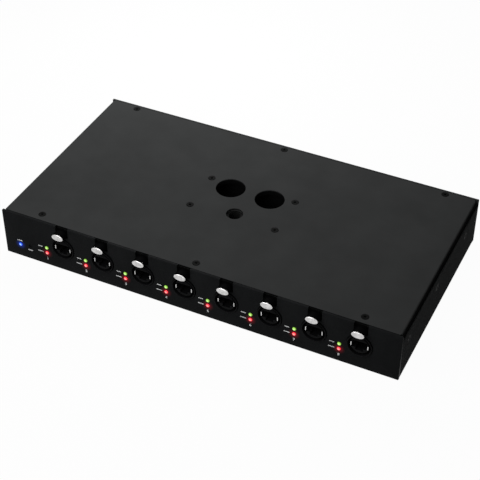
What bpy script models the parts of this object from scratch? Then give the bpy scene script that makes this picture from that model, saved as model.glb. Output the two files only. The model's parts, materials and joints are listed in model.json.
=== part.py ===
"""Stage network switch: a low steel case with eight round locking network sockets along its
front, each with a push latch above it, and a clamp thread and safety-cable holes in its lid."""

import math

import bmesh
import bpy
from mathutils import Matrix, Vector

# All sizes are metres. X runs along the front, Y goes back from it and Z goes up. The origin
# is the middle of the base, on the surface that the case stands on.

# Clearances
GAP = 0.0003
SOCKET_GAP = 0.0004

# Case
CASE_WIDTH = 0.3482
CASE_DEPTH = 0.183
CASE_HEIGHT = 0.044
PANEL_THICKNESS = 0.002
PANEL_EDGE = 0.0004
BASE_SHEET = 0.001
SIDE_WALL_DROP = 0.006
FRONT_LIP_DEPTH = 0.012
REAR_LIP_DEPTH = 0.0085
LID_SHEET = 0.0015
LID_BEND_RADIUS = 0.0015
LID_FLANGE_DROP = 0.021

# Fasteners
COVER_SCREW_RADIUS = 0.0015
COVER_HEAD_RADIUS = 0.0031
COVER_HEAD_HEIGHT = 0.0012
COVER_SCREW_LENGTH = 0.003
HEAD_SINK = 0.0001
FRONT_SCREW_INSET = 0.0095
REAR_SCREW_INSET = 0.0059
FRONT_SCREW_END_INSET = 0.0331
REAR_SCREW_END_INSET = 0.0276
SIDE_SCREW_DROP = 0.0155
SIDE_SCREW_FRONT_INSET = 0.0175
SIDE_SCREW_MIDDLE = -0.0105
SIDE_SCREW_REAR_INSET = 0.0315
STUD_RADIUS = 0.0015
STUD_LENGTH = 0.006
STUD_RISE = 0.007
STUD_END_INSET = 0.009
NUT_RADIUS = 0.0031
NUT_THICKNESS = 0.0024

# Rigging point in the lid
RIG_SCREW_REACH = 0.0384
RIG_SCREW_FRONT = -0.0184
RIG_SCREW_BACK = 0.0218
SAFETY_HOLE_RADIUS = 0.0125
SAFETY_HOLE_REACH = 0.0179
SAFETY_HOLE_DEPTH = 0.0161
CLAMP_HOLE_RADIUS = 0.007
CLAMP_HOLE_DEPTH = -0.0135
RIG_SCREW_LENGTH = 0.0085
RIG_MARGIN = 0.0055
RIG_PLATE_THICKNESS = 0.003
CHANNEL_SHEET = 0.001
CHANNEL_DROP = 0.017
CHANNEL_SIDE_ROOM = 0.0015
CHANNEL_END_ROOM = 0.0025
CLAMP_THREAD_RADIUS = 0.0043
CLAMP_NUT_FLANGE_RADIUS = 0.009
CLAMP_NUT_FLANGE_HEIGHT = 0.005

# Network sockets
PORT_COUNT = 8
FIRST_PORT_INSET = 0.0567
LAST_PORT_INSET = 0.0325
PORT_DROP = 0.021
RING_RADIUS = 0.0102
RING_BORE = 0.0093
RING_PROUD = 0.0012
HOUSING_WIDTH = 0.025
HOUSING_DEPTH = 0.0292
HOUSING_ROOF = 0.0032
BORE_END_WALL = 0.006
NOSE_RADIUS = 0.0077
NOSE_RECESS = 0.0008
NOSE_CHAMFER = 0.0006
JACK_WIDTH = 0.0117
JACK_ABOVE = 0.0038
JACK_BELOW = 0.0029
JACK_DEPTH = 0.0125
KEY_WIDTH = 0.0062
KEY_DEPTH = 0.0025
STRIP_SLOT_WIDTH = 0.001
STRIP_SLOT_HEIGHT = 0.0056
STRIP_SLOT_DEPTH = 0.006
STRIP_SLOT_REACH = 0.0067

# Latches: a rocker on a pin behind the panel. The tab in front is pressed down, and the hook
# behind the pin lifts out of the plug.
TAB_WIDTH = 0.0108
TAB_HEIGHT = 0.0066
TAB_THICKNESS = 0.0014
TAB_PROUD = 0.0073
TAB_RISE = 0.0159
KNOB_WIDTH = 0.0104
KNOB_HEIGHT = 0.0062
KNOB_ENTRY = 0.0017
STEM_WIDTH = 0.0098
STEM_THICKNESS = 0.0041
STEM_RISE = 0.01555
PIVOT_DEPTH = 0.0075
PIVOT_RADIUS = 0.0008
ARM_WIDTH = 0.006
ARM_THICKNESS = 0.0028
ARM_REACH = 0.011
HOOK_WIDTH = 0.0036
HOOK_LENGTH = 0.002
HOOK_ENTRY = 0.0009
HOOK_SETBACK = 0.001
LATCH_TRAVEL_DEGREES = 7.0
EAR_THICKNESS = 0.0025
EAR_LENGTH = 0.0097
EAR_TOP_MARGIN = 0.0022
STEM_SETBACK = 0.0028

# Indicators and the recessed button
LED_ROOM = 0.0012
LED_UPPER_DROP = 0.0052
LED_LOWER_DROP = 0.0104
LED_RADIUS = 0.0015
LED_PROUD = 0.0006
LED_BLOCK_WIDTH = 0.0052
LED_BLOCK_DEPTH = 0.007
LED_BLOCK_ABOVE = 0.0026
LENS_SHOULDER = 0.7
POWER_LED_INSET = 0.0145
BUTTON_INSET = 0.0239
BUTTON_DROP = 0.0094
BUTTON_RADIUS = 0.0013
BUTTON_COLLAR_RADIUS = 0.0021
BUTTON_COLLAR_THICKNESS = 0.0008
BUTTON_RECESS = 0.0008
BUTTON_TRAVEL = 0.0008
SWITCH_WIDTH = 0.006
SWITCH_DEPTH = 0.0045
SWITCH_ABOVE = 0.003
BUTTON_STEM_LENGTH = 0.0012

# Boards
BOARD_DROP = 0.036
BOARD_THICKNESS = 0.0016
MAIN_BOARD_MARGIN = 0.0131
BOARD_ROOM = 0.004
STANDOFF_RADIUS = 0.0031
STANDOFF_BORE = 0.00125
STANDOFF_LEFT_INSET = 0.009
STANDOFF_RIGHT_INSET = 0.005
STANDOFF_FRONT_INSET = 0.0315
STANDOFF_BACK_INSET = 0.008
STANDOFF_MIDDLE_REACH = 0.043
PORT_TRANSFORMER_SIZE = (0.066, 0.0125, 0.0058)
PORT_TRANSFORMER_ROOM = 0.00325
CHIP_SIZE = (0.025, 0.025, 0.0024)
CHIP_DEPTH = -0.0230
SINK_SIZE = (0.034, 0.034)
SINK_BASE = 0.002
SINK_FIN_HEIGHT = 0.006
SINK_FIN_THICKNESS = 0.0012
SINK_FIN_COUNT = 8
PHY_SIZE = (0.014, 0.014, 0.0012)
PHY_ROOM = 0.01225
BOARD_CAPACITOR_XS = (-0.125, -0.112, 0.118, 0.131)
BOARD_CAPACITOR_DEPTH = -0.021
BACK_CAPACITOR_REACH = 0.060
BACK_CAPACITOR_INSET = 0.014
BOARD_CAPACITOR_RADIUS = 0.004
BOARD_CAPACITOR_HEIGHT = 0.0105

# Power supply
SUPPLY_LENGTH = 0.116
SUPPLY_DEPTH = 0.036
SUPPLY_SIDE_MARGIN = 0.0081
SUPPLY_REAR_MARGIN = 0.0315
SUPPLY_STANDOFF_INSET = 0.004
SHEET_THICKNESS = 0.0005
SHEET_MARGIN = 0.002
TRANSFORMER_SIZE = (0.026, 0.024, 0.020)
TRANSFORMER_OFFSET = (-0.022, 0.001)
WINDING_MARGIN = 0.004
BULK_CAPACITOR_RADIUS = 0.008
BULK_CAPACITOR_HEIGHT = 0.024
BULK_CAPACITOR_OFFSET = (0.005, 0.003)
OUTPUT_CAPACITOR_RADIUS = 0.005
OUTPUT_CAPACITOR_HEIGHT = 0.020
OUTPUT_CAPACITOR_OFFSETS = ((-0.044, -0.007), (-0.044, 0.006))
SUPPLY_SINK_SIZE = (0.002, 0.024, 0.020)
SUPPLY_SINK_FOOT = 0.002
SUPPLY_SINK_OFFSET = (0.0165, 0.001)
CHOKE_RADIUS = 0.0075
CHOKE_BORE = 0.0035
CHOKE_HEIGHT = 0.009
CHOKE_OFFSET = (0.030, -0.006)
TERMINAL_SIZE = (0.0122, 0.008, 0.010)
INPUT_TERMINAL_OFFSET = (0.044, 0.010)
OUTPUT_TERMINAL_OFFSET = (0.0005, -0.013)
BOARD_TERMINAL_INSET = 0.008
TERMINAL_ENTRY_HEIGHT = 0.005
TERMINAL_ENTRY_SPREAD = 0.005

# Mains inlet in the rear panel
INLET_INSET = 0.0441
INLET_BODY = (0.0275, 0.024, 0.0275)
INLET_FLANGE = (0.050, 0.0025, 0.031)
INLET_FLANGE_CORNER = 0.004
INLET_SCREW_REACH = 0.020
INLET_CAVITY_WIDTH = 0.0242
INLET_CAVITY_HEIGHT = 0.0160
INLET_CAVITY_DEPTH = 0.0175
INLET_CAVITY_CORNER = 0.004
INLET_CAVITY_RISE = 0.0047
BLADE_REACH = 0.007
BLADE_WIDTH = 0.002
BLADE_HEIGHT = 0.004
BLADE_LENGTH = 0.015
BLADE_TAIL = 0.005
EARTH_RISE = 0.004
LIVE_RISE = -0.0005
DRAWER_WIDTH = 0.0120
DRAWER_HEIGHT = 0.0066
DRAWER_LENGTH = 0.0230
DRAWER_DROP = 0.0090
DRAWER_TROUGH_LENGTH = 0.0196
DRAWER_FACE = 0.0024
DRAWER_TRAVEL = 0.021
FUSE_RADIUS = 0.0024
FUSE_LENGTH = 0.019
PANEL_SCREW_LEFT_INSET = 0.0121
PANEL_SCREW_RIGHT_INSET = 0.0081
PANEL_SCREW_EDGE_INSET = 0.0075
EARTH_STUD_ROOM = 0.026
EARTH_STUD_REAR_INSET = 0.0175
EARTH_STUD_RADIUS = 0.002
EARTH_STUD_HEIGHT = 0.012
EARTH_NUT_RADIUS = 0.004
EARTH_NUT_THICKNESS = 0.0032

# Wires
WIRE_RADIUS = 0.0011
WIRE_BEND = 0.004
WIRE_POINTS = 14
SUPPLY_CABLE_RADIUS = 0.0022

# Planes and places that follow from the sizes above
HALF_WIDTH = CASE_WIDTH / 2
HALF_DEPTH = CASE_DEPTH / 2
SIDE_WALL_HEIGHT = CASE_HEIGHT - SIDE_WALL_DROP
SIDE_SCREW_HEIGHT = CASE_HEIGHT - SIDE_SCREW_DROP
SIDE_SCREW_DEPTHS = (-HALF_DEPTH + SIDE_SCREW_FRONT_INSET, SIDE_SCREW_MIDDLE,
                     HALF_DEPTH - SIDE_SCREW_REAR_INSET)
FRONT_SCREW_REACH = HALF_WIDTH - FRONT_SCREW_END_INSET
REAR_SCREW_REACH = HALF_WIDTH - REAR_SCREW_END_INSET
PORT_HEIGHT = CASE_HEIGHT - PORT_DROP
PORT_PITCH = (CASE_WIDTH - FIRST_PORT_INSET - LAST_PORT_INSET) / (PORT_COUNT - 1)
STUD_HEIGHT = PORT_HEIGHT + STUD_RISE
LED_OFFSET = -(HOUSING_WIDTH / 2 + LED_ROOM + LED_BLOCK_WIDTH / 2)
LED_UPPER_HEIGHT = PORT_HEIGHT - LED_UPPER_DROP
LED_LOWER_HEIGHT = PORT_HEIGHT - LED_LOWER_DROP
POWER_LED_X = -HALF_WIDTH + POWER_LED_INSET
BUTTON_X = -HALF_WIDTH + BUTTON_INSET
BUTTON_HEIGHT = PORT_HEIGHT - BUTTON_DROP
BOARD_HEIGHT = CASE_HEIGHT - BOARD_DROP
SUPPLY_RIGHT = HALF_WIDTH - SUPPLY_SIDE_MARGIN
SUPPLY_LEFT = SUPPLY_RIGHT - SUPPLY_LENGTH
SUPPLY_BACK = HALF_DEPTH - SUPPLY_REAR_MARGIN
SUPPLY_FRONT = SUPPLY_BACK - SUPPLY_DEPTH
SUPPLY_STANDOFFS = [(x, y)
                    for x in (SUPPLY_LEFT + SUPPLY_STANDOFF_INSET,
                              SUPPLY_RIGHT - SUPPLY_STANDOFF_INSET)
                    for y in (SUPPLY_FRONT + SUPPLY_STANDOFF_INSET,
                              SUPPLY_BACK - SUPPLY_STANDOFF_INSET)]
MAIN_BOARD_REACH = HALF_WIDTH - MAIN_BOARD_MARGIN
MAIN_BOARD_BACK = SUPPLY_FRONT - BOARD_ROOM
INLET_X = HALF_WIDTH - INLET_INSET
INLET_HEIGHT = CASE_HEIGHT / 2
REAR_SCREW_PLACES = [(x, z)
                     for x in (-HALF_WIDTH + PANEL_SCREW_LEFT_INSET, 0,
                               HALF_WIDTH - PANEL_SCREW_RIGHT_INSET)
                     for z in (CASE_HEIGHT - PANEL_SCREW_EDGE_INSET, PANEL_SCREW_EDGE_INSET)]
EARTH_STUD_PLACE = (INLET_X - EARTH_STUD_ROOM, HALF_DEPTH - EARTH_STUD_REAR_INSET)
PANEL_BACK = HALF_DEPTH - PANEL_THICKNESS
BASE_REACH = PANEL_BACK - GAP
WALL_INSIDE = BASE_REACH - BASE_SHEET
LID_HALF_WIDTH = HALF_WIDTH - BASE_SHEET - GAP
LID_UNDERSIDE = CASE_HEIGHT - LID_SHEET
LIP_TOP = LID_UNDERSIDE - GAP
LIP_UNDERSIDE = LIP_TOP - BASE_SHEET
LIP_HALF_WIDTH = LID_HALF_WIDTH - LID_SHEET - GAP
BOARD_TOP = BOARD_HEIGHT + BOARD_THICKNESS
PART_SEAT = BOARD_TOP + GAP
FRONT_FACE = -HALF_DEPTH
PORT_XS = [-HALF_WIDTH + FIRST_PORT_INSET + PORT_PITCH * i for i in range(PORT_COUNT)]
BEHIND_PANEL = PANEL_THICKNESS + GAP
HOUSING_TOP = RING_BORE + HOUSING_ROOF
BORE_DEPTH = BEHIND_PANEL + HOUSING_DEPTH - BORE_END_WALL
RIG_PLATE_TOP = LID_UNDERSIDE - GAP
RIG_PLATE_UNDERSIDE = RIG_PLATE_TOP - RIG_PLATE_THICKNESS
CHANNEL_TOP = RIG_PLATE_UNDERSIDE - GAP
RIG_CORNERS = [(x, y) for x in (-RIG_SCREW_REACH, RIG_SCREW_REACH)
               for y in (RIG_SCREW_FRONT, RIG_SCREW_BACK)]
COVER_SCREW_PLACES = ([(x, -HALF_DEPTH + FRONT_SCREW_INSET)
                       for x in (-FRONT_SCREW_REACH, 0, FRONT_SCREW_REACH)]
                      + [(x, HALF_DEPTH - REAR_SCREW_INSET)
                         for x in (-REAR_SCREW_REACH, 0, REAR_SCREW_REACH)])
PORT_MIDDLE = (PORT_XS[0] + PORT_XS[-1]) / 2
PORT_TRANSFORMER_DEPTH = (FRONT_FACE + BEHIND_PANEL + HOUSING_DEPTH + PORT_TRANSFORMER_ROOM
                          + PORT_TRANSFORMER_SIZE[1] / 2)
PORT_TRANSFORMER_PLACES = {"left": (PORT_MIDDLE - PORT_PITCH * 2, PORT_TRANSFORMER_DEPTH),
                           "right": (PORT_MIDDLE + PORT_PITCH * 2, PORT_TRANSFORMER_DEPTH)}
PHY_PLACES = [(x, y + PORT_TRANSFORMER_SIZE[1] / 2 + PHY_ROOM + PHY_SIZE[1] / 2)
              for x, y in PORT_TRANSFORMER_PLACES.values()]
CHIP_PLACE = (PORT_MIDDLE, CHIP_DEPTH)
BOARD_CAPACITORS = ([(x, BOARD_CAPACITOR_DEPTH) for x in BOARD_CAPACITOR_XS]
                    + [(x, MAIN_BOARD_BACK - BACK_CAPACITOR_INSET)
                       for x in (-BACK_CAPACITOR_REACH, BACK_CAPACITOR_REACH)])
STANDOFF_BACK = MAIN_BOARD_BACK - STANDOFF_BACK_INSET
STANDOFF_ENDS = (-MAIN_BOARD_REACH + STANDOFF_LEFT_INSET, MAIN_BOARD_REACH - STANDOFF_RIGHT_INSET)
MAIN_STANDOFFS = ([(x, STANDOFF_BACK)
                   for x in (-STANDOFF_MIDDLE_REACH, STANDOFF_MIDDLE_REACH, *STANDOFF_ENDS)]
                  + [(x, FRONT_FACE + STANDOFF_FRONT_INSET) for x in STANDOFF_ENDS])
STUD_XS = ([-HALF_WIDTH + STUD_END_INSET]
           + [PORT_XS[i] + PORT_PITCH / 2 for i in range(1, PORT_COUNT - 1, 2)]
           + [HALF_WIDTH - STUD_END_INSET])

SEGMENTS = {"ring": 24, "hole": 24, "medium": 16, "small": 10, "tiny": 8}


def on_supply(offset):
    """A place on the supply board, from how far it lies from the board's middle."""
    return ((SUPPLY_LEFT + SUPPLY_RIGHT) / 2 + offset[0],
            (SUPPLY_FRONT + SUPPLY_BACK) / 2 + offset[1])


def board_terminal():
    """The main board's terminal stands straight in front of the supply's output terminal."""
    return on_supply(OUTPUT_TERMINAL_OFFSET)[0], MAIN_BOARD_BACK - BOARD_TERMINAL_INSET


def clear_scene():
    """Remove the objects that an empty Blender file starts with."""
    for thing in list(bpy.data.objects):
        bpy.data.objects.remove(thing, do_unlink=True)


def material(name, colour, roughness, metallic=0.0, glow=0.0):
    """A Principled material of one colour, which glows in that colour if asked."""
    made = bpy.data.materials.new(name)
    made.use_nodes = True
    shader = made.node_tree.nodes["Principled BSDF"]
    shader.inputs["Base Color"].default_value = (*colour, 1.0)
    shader.inputs["Roughness"].default_value = roughness
    shader.inputs["Metallic"].default_value = metallic
    shader.inputs["Emission Color"].default_value = (*colour, 1.0)
    shader.inputs["Emission Strength"].default_value = glow
    made.diffuse_color = (*colour, 1.0)
    return made


def to_mesh(bm):
    """Turn a bmesh into a mesh whose faces all point outwards."""
    bmesh.ops.recalc_face_normals(bm, faces=bm.faces)
    mesh = bpy.data.meshes.new("shape")
    bm.to_mesh(mesh)
    bm.free()
    return mesh


def box(low, high):
    """A box between two corners."""
    low, high = Vector(low), Vector(high)
    bm = bmesh.new()
    place = Matrix.Translation((low + high) / 2) @ Matrix.Diagonal((*(high - low), 1))
    bmesh.ops.create_cube(bm, size=1.0, matrix=place)
    return to_mesh(bm)


def standing_box(centre, size, bottom):
    """A box of size (x, y, z) over the plan point centre, with its foot at bottom."""
    x, y = centre
    return box((x - size[0] / 2, y - size[1] / 2, bottom),
               (x + size[0] / 2, y + size[1] / 2, bottom + size[2]))


def prism(outline, axis, start, end):
    """Extrude a flat outline from start to end along axis.

    The outline's points are (x, y) for axis Z, (x, z) for axis Y and (y, z) for axis X.
    """
    to_space = {"X": lambda u, v: (start, u, v),
                "Y": lambda u, v: (u, start, v),
                "Z": lambda u, v: (u, v, start)}[axis]
    along = {"X": Vector((1, 0, 0)), "Y": Vector((0, 1, 0)), "Z": Vector((0, 0, 1))}[axis]
    bm = bmesh.new()
    face = bm.faces.new([bm.verts.new(to_space(u, v)) for u, v in outline])
    grown = bmesh.ops.extrude_face_region(bm, geom=[face])
    moved = [item for item in grown["geom"] if isinstance(item, bmesh.types.BMVert)]
    bmesh.ops.translate(bm, verts=moved, vec=along * (end - start))
    return to_mesh(bm)


def turned(profile, axis, centre, segments, ring=False):
    """Spin a profile of (radius, distance along axis) points into a solid.

    A profile starts and ends on the axis, unless ring says that it closes on itself.
    """
    bm = bmesh.new()
    points = [bm.verts.new((radius, 0, height)) for radius, height in profile]
    edges = [bm.edges.new(pair) for pair in zip(points, points[1:])]
    if ring:
        edges.append(bm.edges.new((points[-1], points[0])))
    bmesh.ops.spin(bm, geom=points + edges, cent=(0, 0, 0), axis=(0, 0, 1),
                   angle=math.tau, steps=segments, use_merge=True)
    bmesh.ops.remove_doubles(bm, verts=bm.verts, dist=0.000001)
    turn = {"X": Matrix.Rotation(math.pi / 2, 4, "Y"),
            "Y": Matrix.Rotation(-math.pi / 2, 4, "X"),
            "Z": Matrix.Identity(4)}[axis]
    bmesh.ops.transform(bm, matrix=Matrix.Translation(centre) @ turn, verts=bm.verts)
    return to_mesh(bm)


def rod(radius, axis, start, end, across, segments):
    """A plain cylinder. across holds its two centre coordinates off the axis, in X, Y, Z order."""
    centre = {"X": (0, *across), "Y": (across[0], 0, across[1]), "Z": (*across, 0)}[axis]
    return turned([(0, start), (radius, start), (radius, end), (0, end)], axis, centre, segments)


def sleeve(radius, bore, axis, start, end, across, segments):
    """A tube with a plain bore."""
    centre = {"X": (0, *across), "Y": (across[0], 0, across[1]), "Z": (*across, 0)}[axis]
    profile = [(bore, start), (radius, start), (radius, end), (bore, end)]
    return turned(profile, axis, centre, segments, ring=True)


def together(*meshes):
    """Put solids that don't meet into one mesh."""
    bm = bmesh.new()
    for mesh in meshes:
        bm.from_mesh(mesh)
    joined = bpy.data.meshes.new("shape")
    bm.to_mesh(joined)
    bm.free()
    return joined


def repeated(mesh, places):
    """Copies of one mesh, moved to each place, in one mesh."""
    bm = bmesh.new()
    for place in places:
        copy = mesh.copy()
        copy.transform(Matrix.Translation(place))
        bm.from_mesh(copy)
    joined = bpy.data.meshes.new("shape")
    bm.to_mesh(joined)
    bm.free()
    return joined


def combined(operation, first, others):
    """Apply one Boolean operation to a mesh with each of the other meshes in turn."""
    work = bpy.data.objects.new("work", first)
    tools = []
    for mesh in others:
        tool = bpy.data.objects.new("tool", mesh)
        modifier = work.modifiers.new(operation.lower(), "BOOLEAN")
        modifier.operation = operation
        modifier.solver = "EXACT"
        modifier.object = tool
        tools.append(tool)
    for thing in (work, *tools):
        bpy.context.scene.collection.objects.link(thing)
    seen = work.evaluated_get(bpy.context.evaluated_depsgraph_get())
    result = bpy.data.meshes.new_from_object(seen)
    for thing in (work, *tools):
        bpy.data.objects.remove(thing, do_unlink=True)
    return result


def cut(first, *others):
    """What is left of a solid when the others are taken away."""
    return combined("DIFFERENCE", first, others)


def fused(first, *others):
    """One solid made of several that overlap."""
    return combined("UNION", first, others)


def part(name, mesh, finish, place=(0, 0, 0), parent=None):
    """Make the named object of a piece, shaded smooth where it is round."""
    thing = bpy.data.objects.new(name, mesh)
    bpy.context.scene.collection.objects.link(thing)
    mesh.materials.clear()
    mesh.materials.append(finish)
    mesh.shade_smooth()
    mesh.set_sharp_from_angle(angle=math.radians(35))
    thing.location = place
    thing.parent = parent
    return thing


def rounded_outline(width, height, corner, steps=4):
    """A rectangle with round corners, centred on the origin, as points going round it."""
    points = []
    for turn, (sx, sz) in enumerate(((1, 1), (-1, 1), (-1, -1), (1, -1))):
        for step in range(steps + 1):
            angle = math.pi / 2 * (turn + step / steps)
            points.append((sx * (width / 2 - corner) + corner * math.cos(angle),
                           sz * (height / 2 - corner) + corner * math.sin(angle)))
    return points


def oval_outline(width, height, steps=24):
    """An ellipse centred on the origin."""
    return [(width / 2 * math.cos(math.tau * i / steps), height / 2 * math.sin(math.tau * i / steps))
            for i in range(steps)]


def shifted(outline, u, v):
    """An outline moved in its own plane."""
    return [(a + u, b + v) for a, b in outline]


def countersunk_hole(places, top, depth):
    """Cutters for flush screws driven down into a face at height top."""
    shank = COVER_SCREW_RADIUS + GAP
    profile = [(0, -depth), (shank, -depth), (shank, -COVER_HEAD_HEIGHT - GAP),
               (COVER_HEAD_RADIUS + GAP, 0), (COVER_HEAD_RADIUS + GAP, GAP), (0, GAP)]
    one = turned(profile, "Z", (0, 0, 0), SEGMENTS["small"])
    return repeated(one, [(x, y, top) for x, y in places])


def countersunk_screw(length):
    """A flush screw that points down from its head at the origin."""
    shank, head = COVER_SCREW_RADIUS, COVER_HEAD_RADIUS
    profile = [(0, -length), (shank, -length), (shank, -COVER_HEAD_HEIGHT),
               (head, -HEAD_SINK * 2), (head, -HEAD_SINK), (0, -HEAD_SINK)]
    return turned(profile, "Z", (0, 0, 0), SEGMENTS["small"])


def rotated(mesh, angle, axis):
    """A mesh turned about an axis through the origin."""
    copy = mesh.copy()
    copy.transform(Matrix.Rotation(angle, 4, axis))
    return copy


def socket_windows():
    """Openings in the base's front wall for the sockets, indicators and button behind it."""
    wide = HOUSING_WIDTH / 2 + GAP
    tall = BOARD_TOP, LIP_UNDERSIDE - GAP
    block = LED_BLOCK_WIDTH / 2 + GAP
    across = -BASE_REACH - GAP, -WALL_INSIDE + GAP
    cutters = [box((x - wide, across[0], tall[0]), (x + wide, across[1], tall[1]))
               for x in PORT_XS]
    for x in PORT_XS:
        low = BOARD_TOP, LED_UPPER_HEIGHT + LED_BLOCK_ABOVE + GAP
        cutters.append(box((x + LED_OFFSET - block, across[0], low[0]),
                           (x + LED_OFFSET + block, across[1], low[1])))
    power_top = LED_LOWER_HEIGHT + LED_BLOCK_ABOVE + GAP
    cutters.append(box((POWER_LED_X - block, across[0], BOARD_TOP),
                       (POWER_LED_X + block, across[1], power_top)))
    cutters.append(rod(BUTTON_COLLAR_RADIUS + GAP, "Y", *across, (BUTTON_X, BUTTON_HEIGHT),
                       SEGMENTS["small"]))
    return together(*cutters)


def make_base(paint):
    """The folded steel tray, with the standoffs and earth stud pressed in its floor.

    Its front wall has a lip. A separate strip on the rear wall takes the lid's rear screws.
    """
    outer = box((-HALF_WIDTH, -BASE_REACH, 0), (HALF_WIDTH, BASE_REACH, LIP_TOP))
    cavity = box((-HALF_WIDTH + BASE_SHEET, -WALL_INSIDE, BASE_SHEET),
                 (HALF_WIDTH - BASE_SHEET, WALL_INSIDE, LIP_UNDERSIDE))
    mouth = box((-HALF_WIDTH, -BASE_REACH + FRONT_LIP_DEPTH, SIDE_WALL_HEIGHT),
                (HALF_WIDTH, BASE_REACH - REAR_LIP_DEPTH, CASE_HEIGHT))
    shoulders = together(*[
        box((min(a, b), -CASE_DEPTH, SIDE_WALL_HEIGHT), (max(a, b), CASE_DEPTH, CASE_HEIGHT))
        for a, b in ((LIP_HALF_WIDTH, CASE_WIDTH), (-LIP_HALF_WIDTH, -CASE_WIDTH))])
    hole = COVER_SCREW_RADIUS + GAP
    lip_holes = together(*[rod(hole, "Z", LIP_UNDERSIDE - GAP, CASE_HEIGHT, place, SEGMENTS["tiny"])
                           for place in COVER_SCREW_PLACES])
    stud_holes = together(*[rod(STUD_RADIUS + GAP, "Y", -BASE_REACH - GAP, -WALL_INSIDE + GAP,
                                (x, STUD_HEIGHT), SEGMENTS["tiny"]) for x in STUD_XS])
    rear_holes = together(*[rod(hole, "Y", WALL_INSIDE - GAP, BASE_REACH + GAP, place,
                                SEGMENTS["tiny"]) for place in REAR_SCREW_PLACES])
    side = countersunk_hole([(0, 0)], 0, BASE_SHEET + GAP)
    side_holes = []
    for sign in (-1, 1):
        leaning = rotated(side, sign * math.pi / 2, "Y")
        side_holes.append(repeated(leaning, [(sign * HALF_WIDTH, y, SIDE_SCREW_HEIGHT)
                                             for y in SIDE_SCREW_DEPTHS]))
    inlet_hole = box((INLET_X - INLET_BODY[0] / 2 - GAP, WALL_INSIDE - GAP,
                      INLET_HEIGHT - INLET_BODY[2] / 2 - GAP),
                     (INLET_X + INLET_BODY[0] / 2 + GAP, BASE_REACH + GAP,
                      INLET_HEIGHT + INLET_BODY[2] / 2 + GAP))
    strip_front = BASE_REACH - REAR_LIP_DEPTH
    strip_room = box((-CASE_WIDTH, strip_front - GAP, LIP_UNDERSIDE - GAP),
                     (CASE_WIDTH, CASE_DEPTH, CASE_HEIGHT))
    tray = cut(outer, cavity, mouth, shoulders, socket_windows(), lip_holes, stud_holes,
               rear_holes, together(*side_holes), inlet_hole, strip_room)
    floor = BASE_SHEET - GAP
    standoff = turned([(0, floor), (STANDOFF_RADIUS, floor), (STANDOFF_RADIUS, BOARD_HEIGHT - GAP),
                       (STANDOFF_BORE, BOARD_HEIGHT - GAP), (STANDOFF_BORE, BASE_SHEET * 2),
                       (0, BASE_SHEET * 2)], "Z", (0, 0, 0), 6)
    standoffs = repeated(standoff, [(x, y, 0) for x, y in (*MAIN_STANDOFFS, *SUPPLY_STANDOFFS)])
    stud = rod(EARTH_STUD_RADIUS, "Z", floor, BASE_SHEET + EARTH_STUD_HEIGHT, EARTH_STUD_PLACE,
               SEGMENTS["tiny"])
    nut = rod(EARTH_NUT_RADIUS, "Z", floor, BASE_SHEET + EARTH_NUT_THICKNESS, EARTH_STUD_PLACE, 6)
    part("chassis_base", fused(tray, standoffs, stud, nut), paint)
    strip = box((-LIP_HALF_WIDTH, strip_front, LIP_UNDERSIDE),
                (LIP_HALF_WIDTH, BASE_REACH, LIP_TOP))
    part("rear_strip", cut(strip, lip_holes), paint)


def make_front_panel(gloss):
    """The front plate with its holes, and the welded studs and nuts that hold it to the base."""
    low = -HALF_WIDTH, -HALF_DEPTH, 0
    high = HALF_WIDTH, -PANEL_BACK, CASE_HEIGHT
    bm = bmesh.new()
    bm.from_mesh(box(low, high))
    front = [edge for edge in bm.edges
             if all(vert.co.y < -PANEL_BACK - PANEL_THICKNESS / 2 for vert in edge.verts)]
    bmesh.ops.bevel(bm, geom=front, offset=PANEL_EDGE, segments=1, affect="EDGES")
    plate = to_mesh(bm)
    nut_seat = -WALL_INSIDE + GAP
    stud = fused(rod(STUD_RADIUS, "Y", -PANEL_BACK - PANEL_THICKNESS / 2,
                     -PANEL_BACK + STUD_LENGTH, (0, STUD_HEIGHT), SEGMENTS["tiny"]),
                 rod(NUT_RADIUS, "Y", nut_seat, nut_seat + NUT_THICKNESS, (0, STUD_HEIGHT), 6))
    studs = repeated(stud, [(x, 0, 0) for x in STUD_XS])
    through = -HALF_DEPTH - GAP, -PANEL_BACK + GAP
    round_holes = [rod(RING_RADIUS + GAP, "Y", *through, (x, PORT_HEIGHT), SEGMENTS["ring"])
                   for x in PORT_XS]
    lights = [(x + LED_OFFSET, z) for x in PORT_XS for z in (LED_UPPER_HEIGHT, LED_LOWER_HEIGHT)]
    lights.append((POWER_LED_X, LED_LOWER_HEIGHT))
    for place in lights:
        round_holes.append(rod(LED_RADIUS + GAP, "Y", *through, place, SEGMENTS["small"]))
    round_holes.append(rod(BUTTON_RADIUS + GAP, "Y", *through, (BUTTON_X, BUTTON_HEIGHT),
                           SEGMENTS["small"]))
    drop = math.sin(math.radians(LATCH_TRAVEL_DEGREES)) * PIVOT_DEPTH
    knob_bottom = PORT_HEIGHT + TAB_RISE - KNOB_HEIGHT / 2
    notches = [box((x - KNOB_WIDTH / 2 - SOCKET_GAP, through[0], knob_bottom - drop - SOCKET_GAP),
                   (x + KNOB_WIDTH / 2 + SOCKET_GAP, through[1], CASE_HEIGHT + GAP))
               for x in PORT_XS]
    mesh = cut(fused(plate, studs), together(*round_holes, *notches))
    part("front_panel", mesh, gloss)


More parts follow.
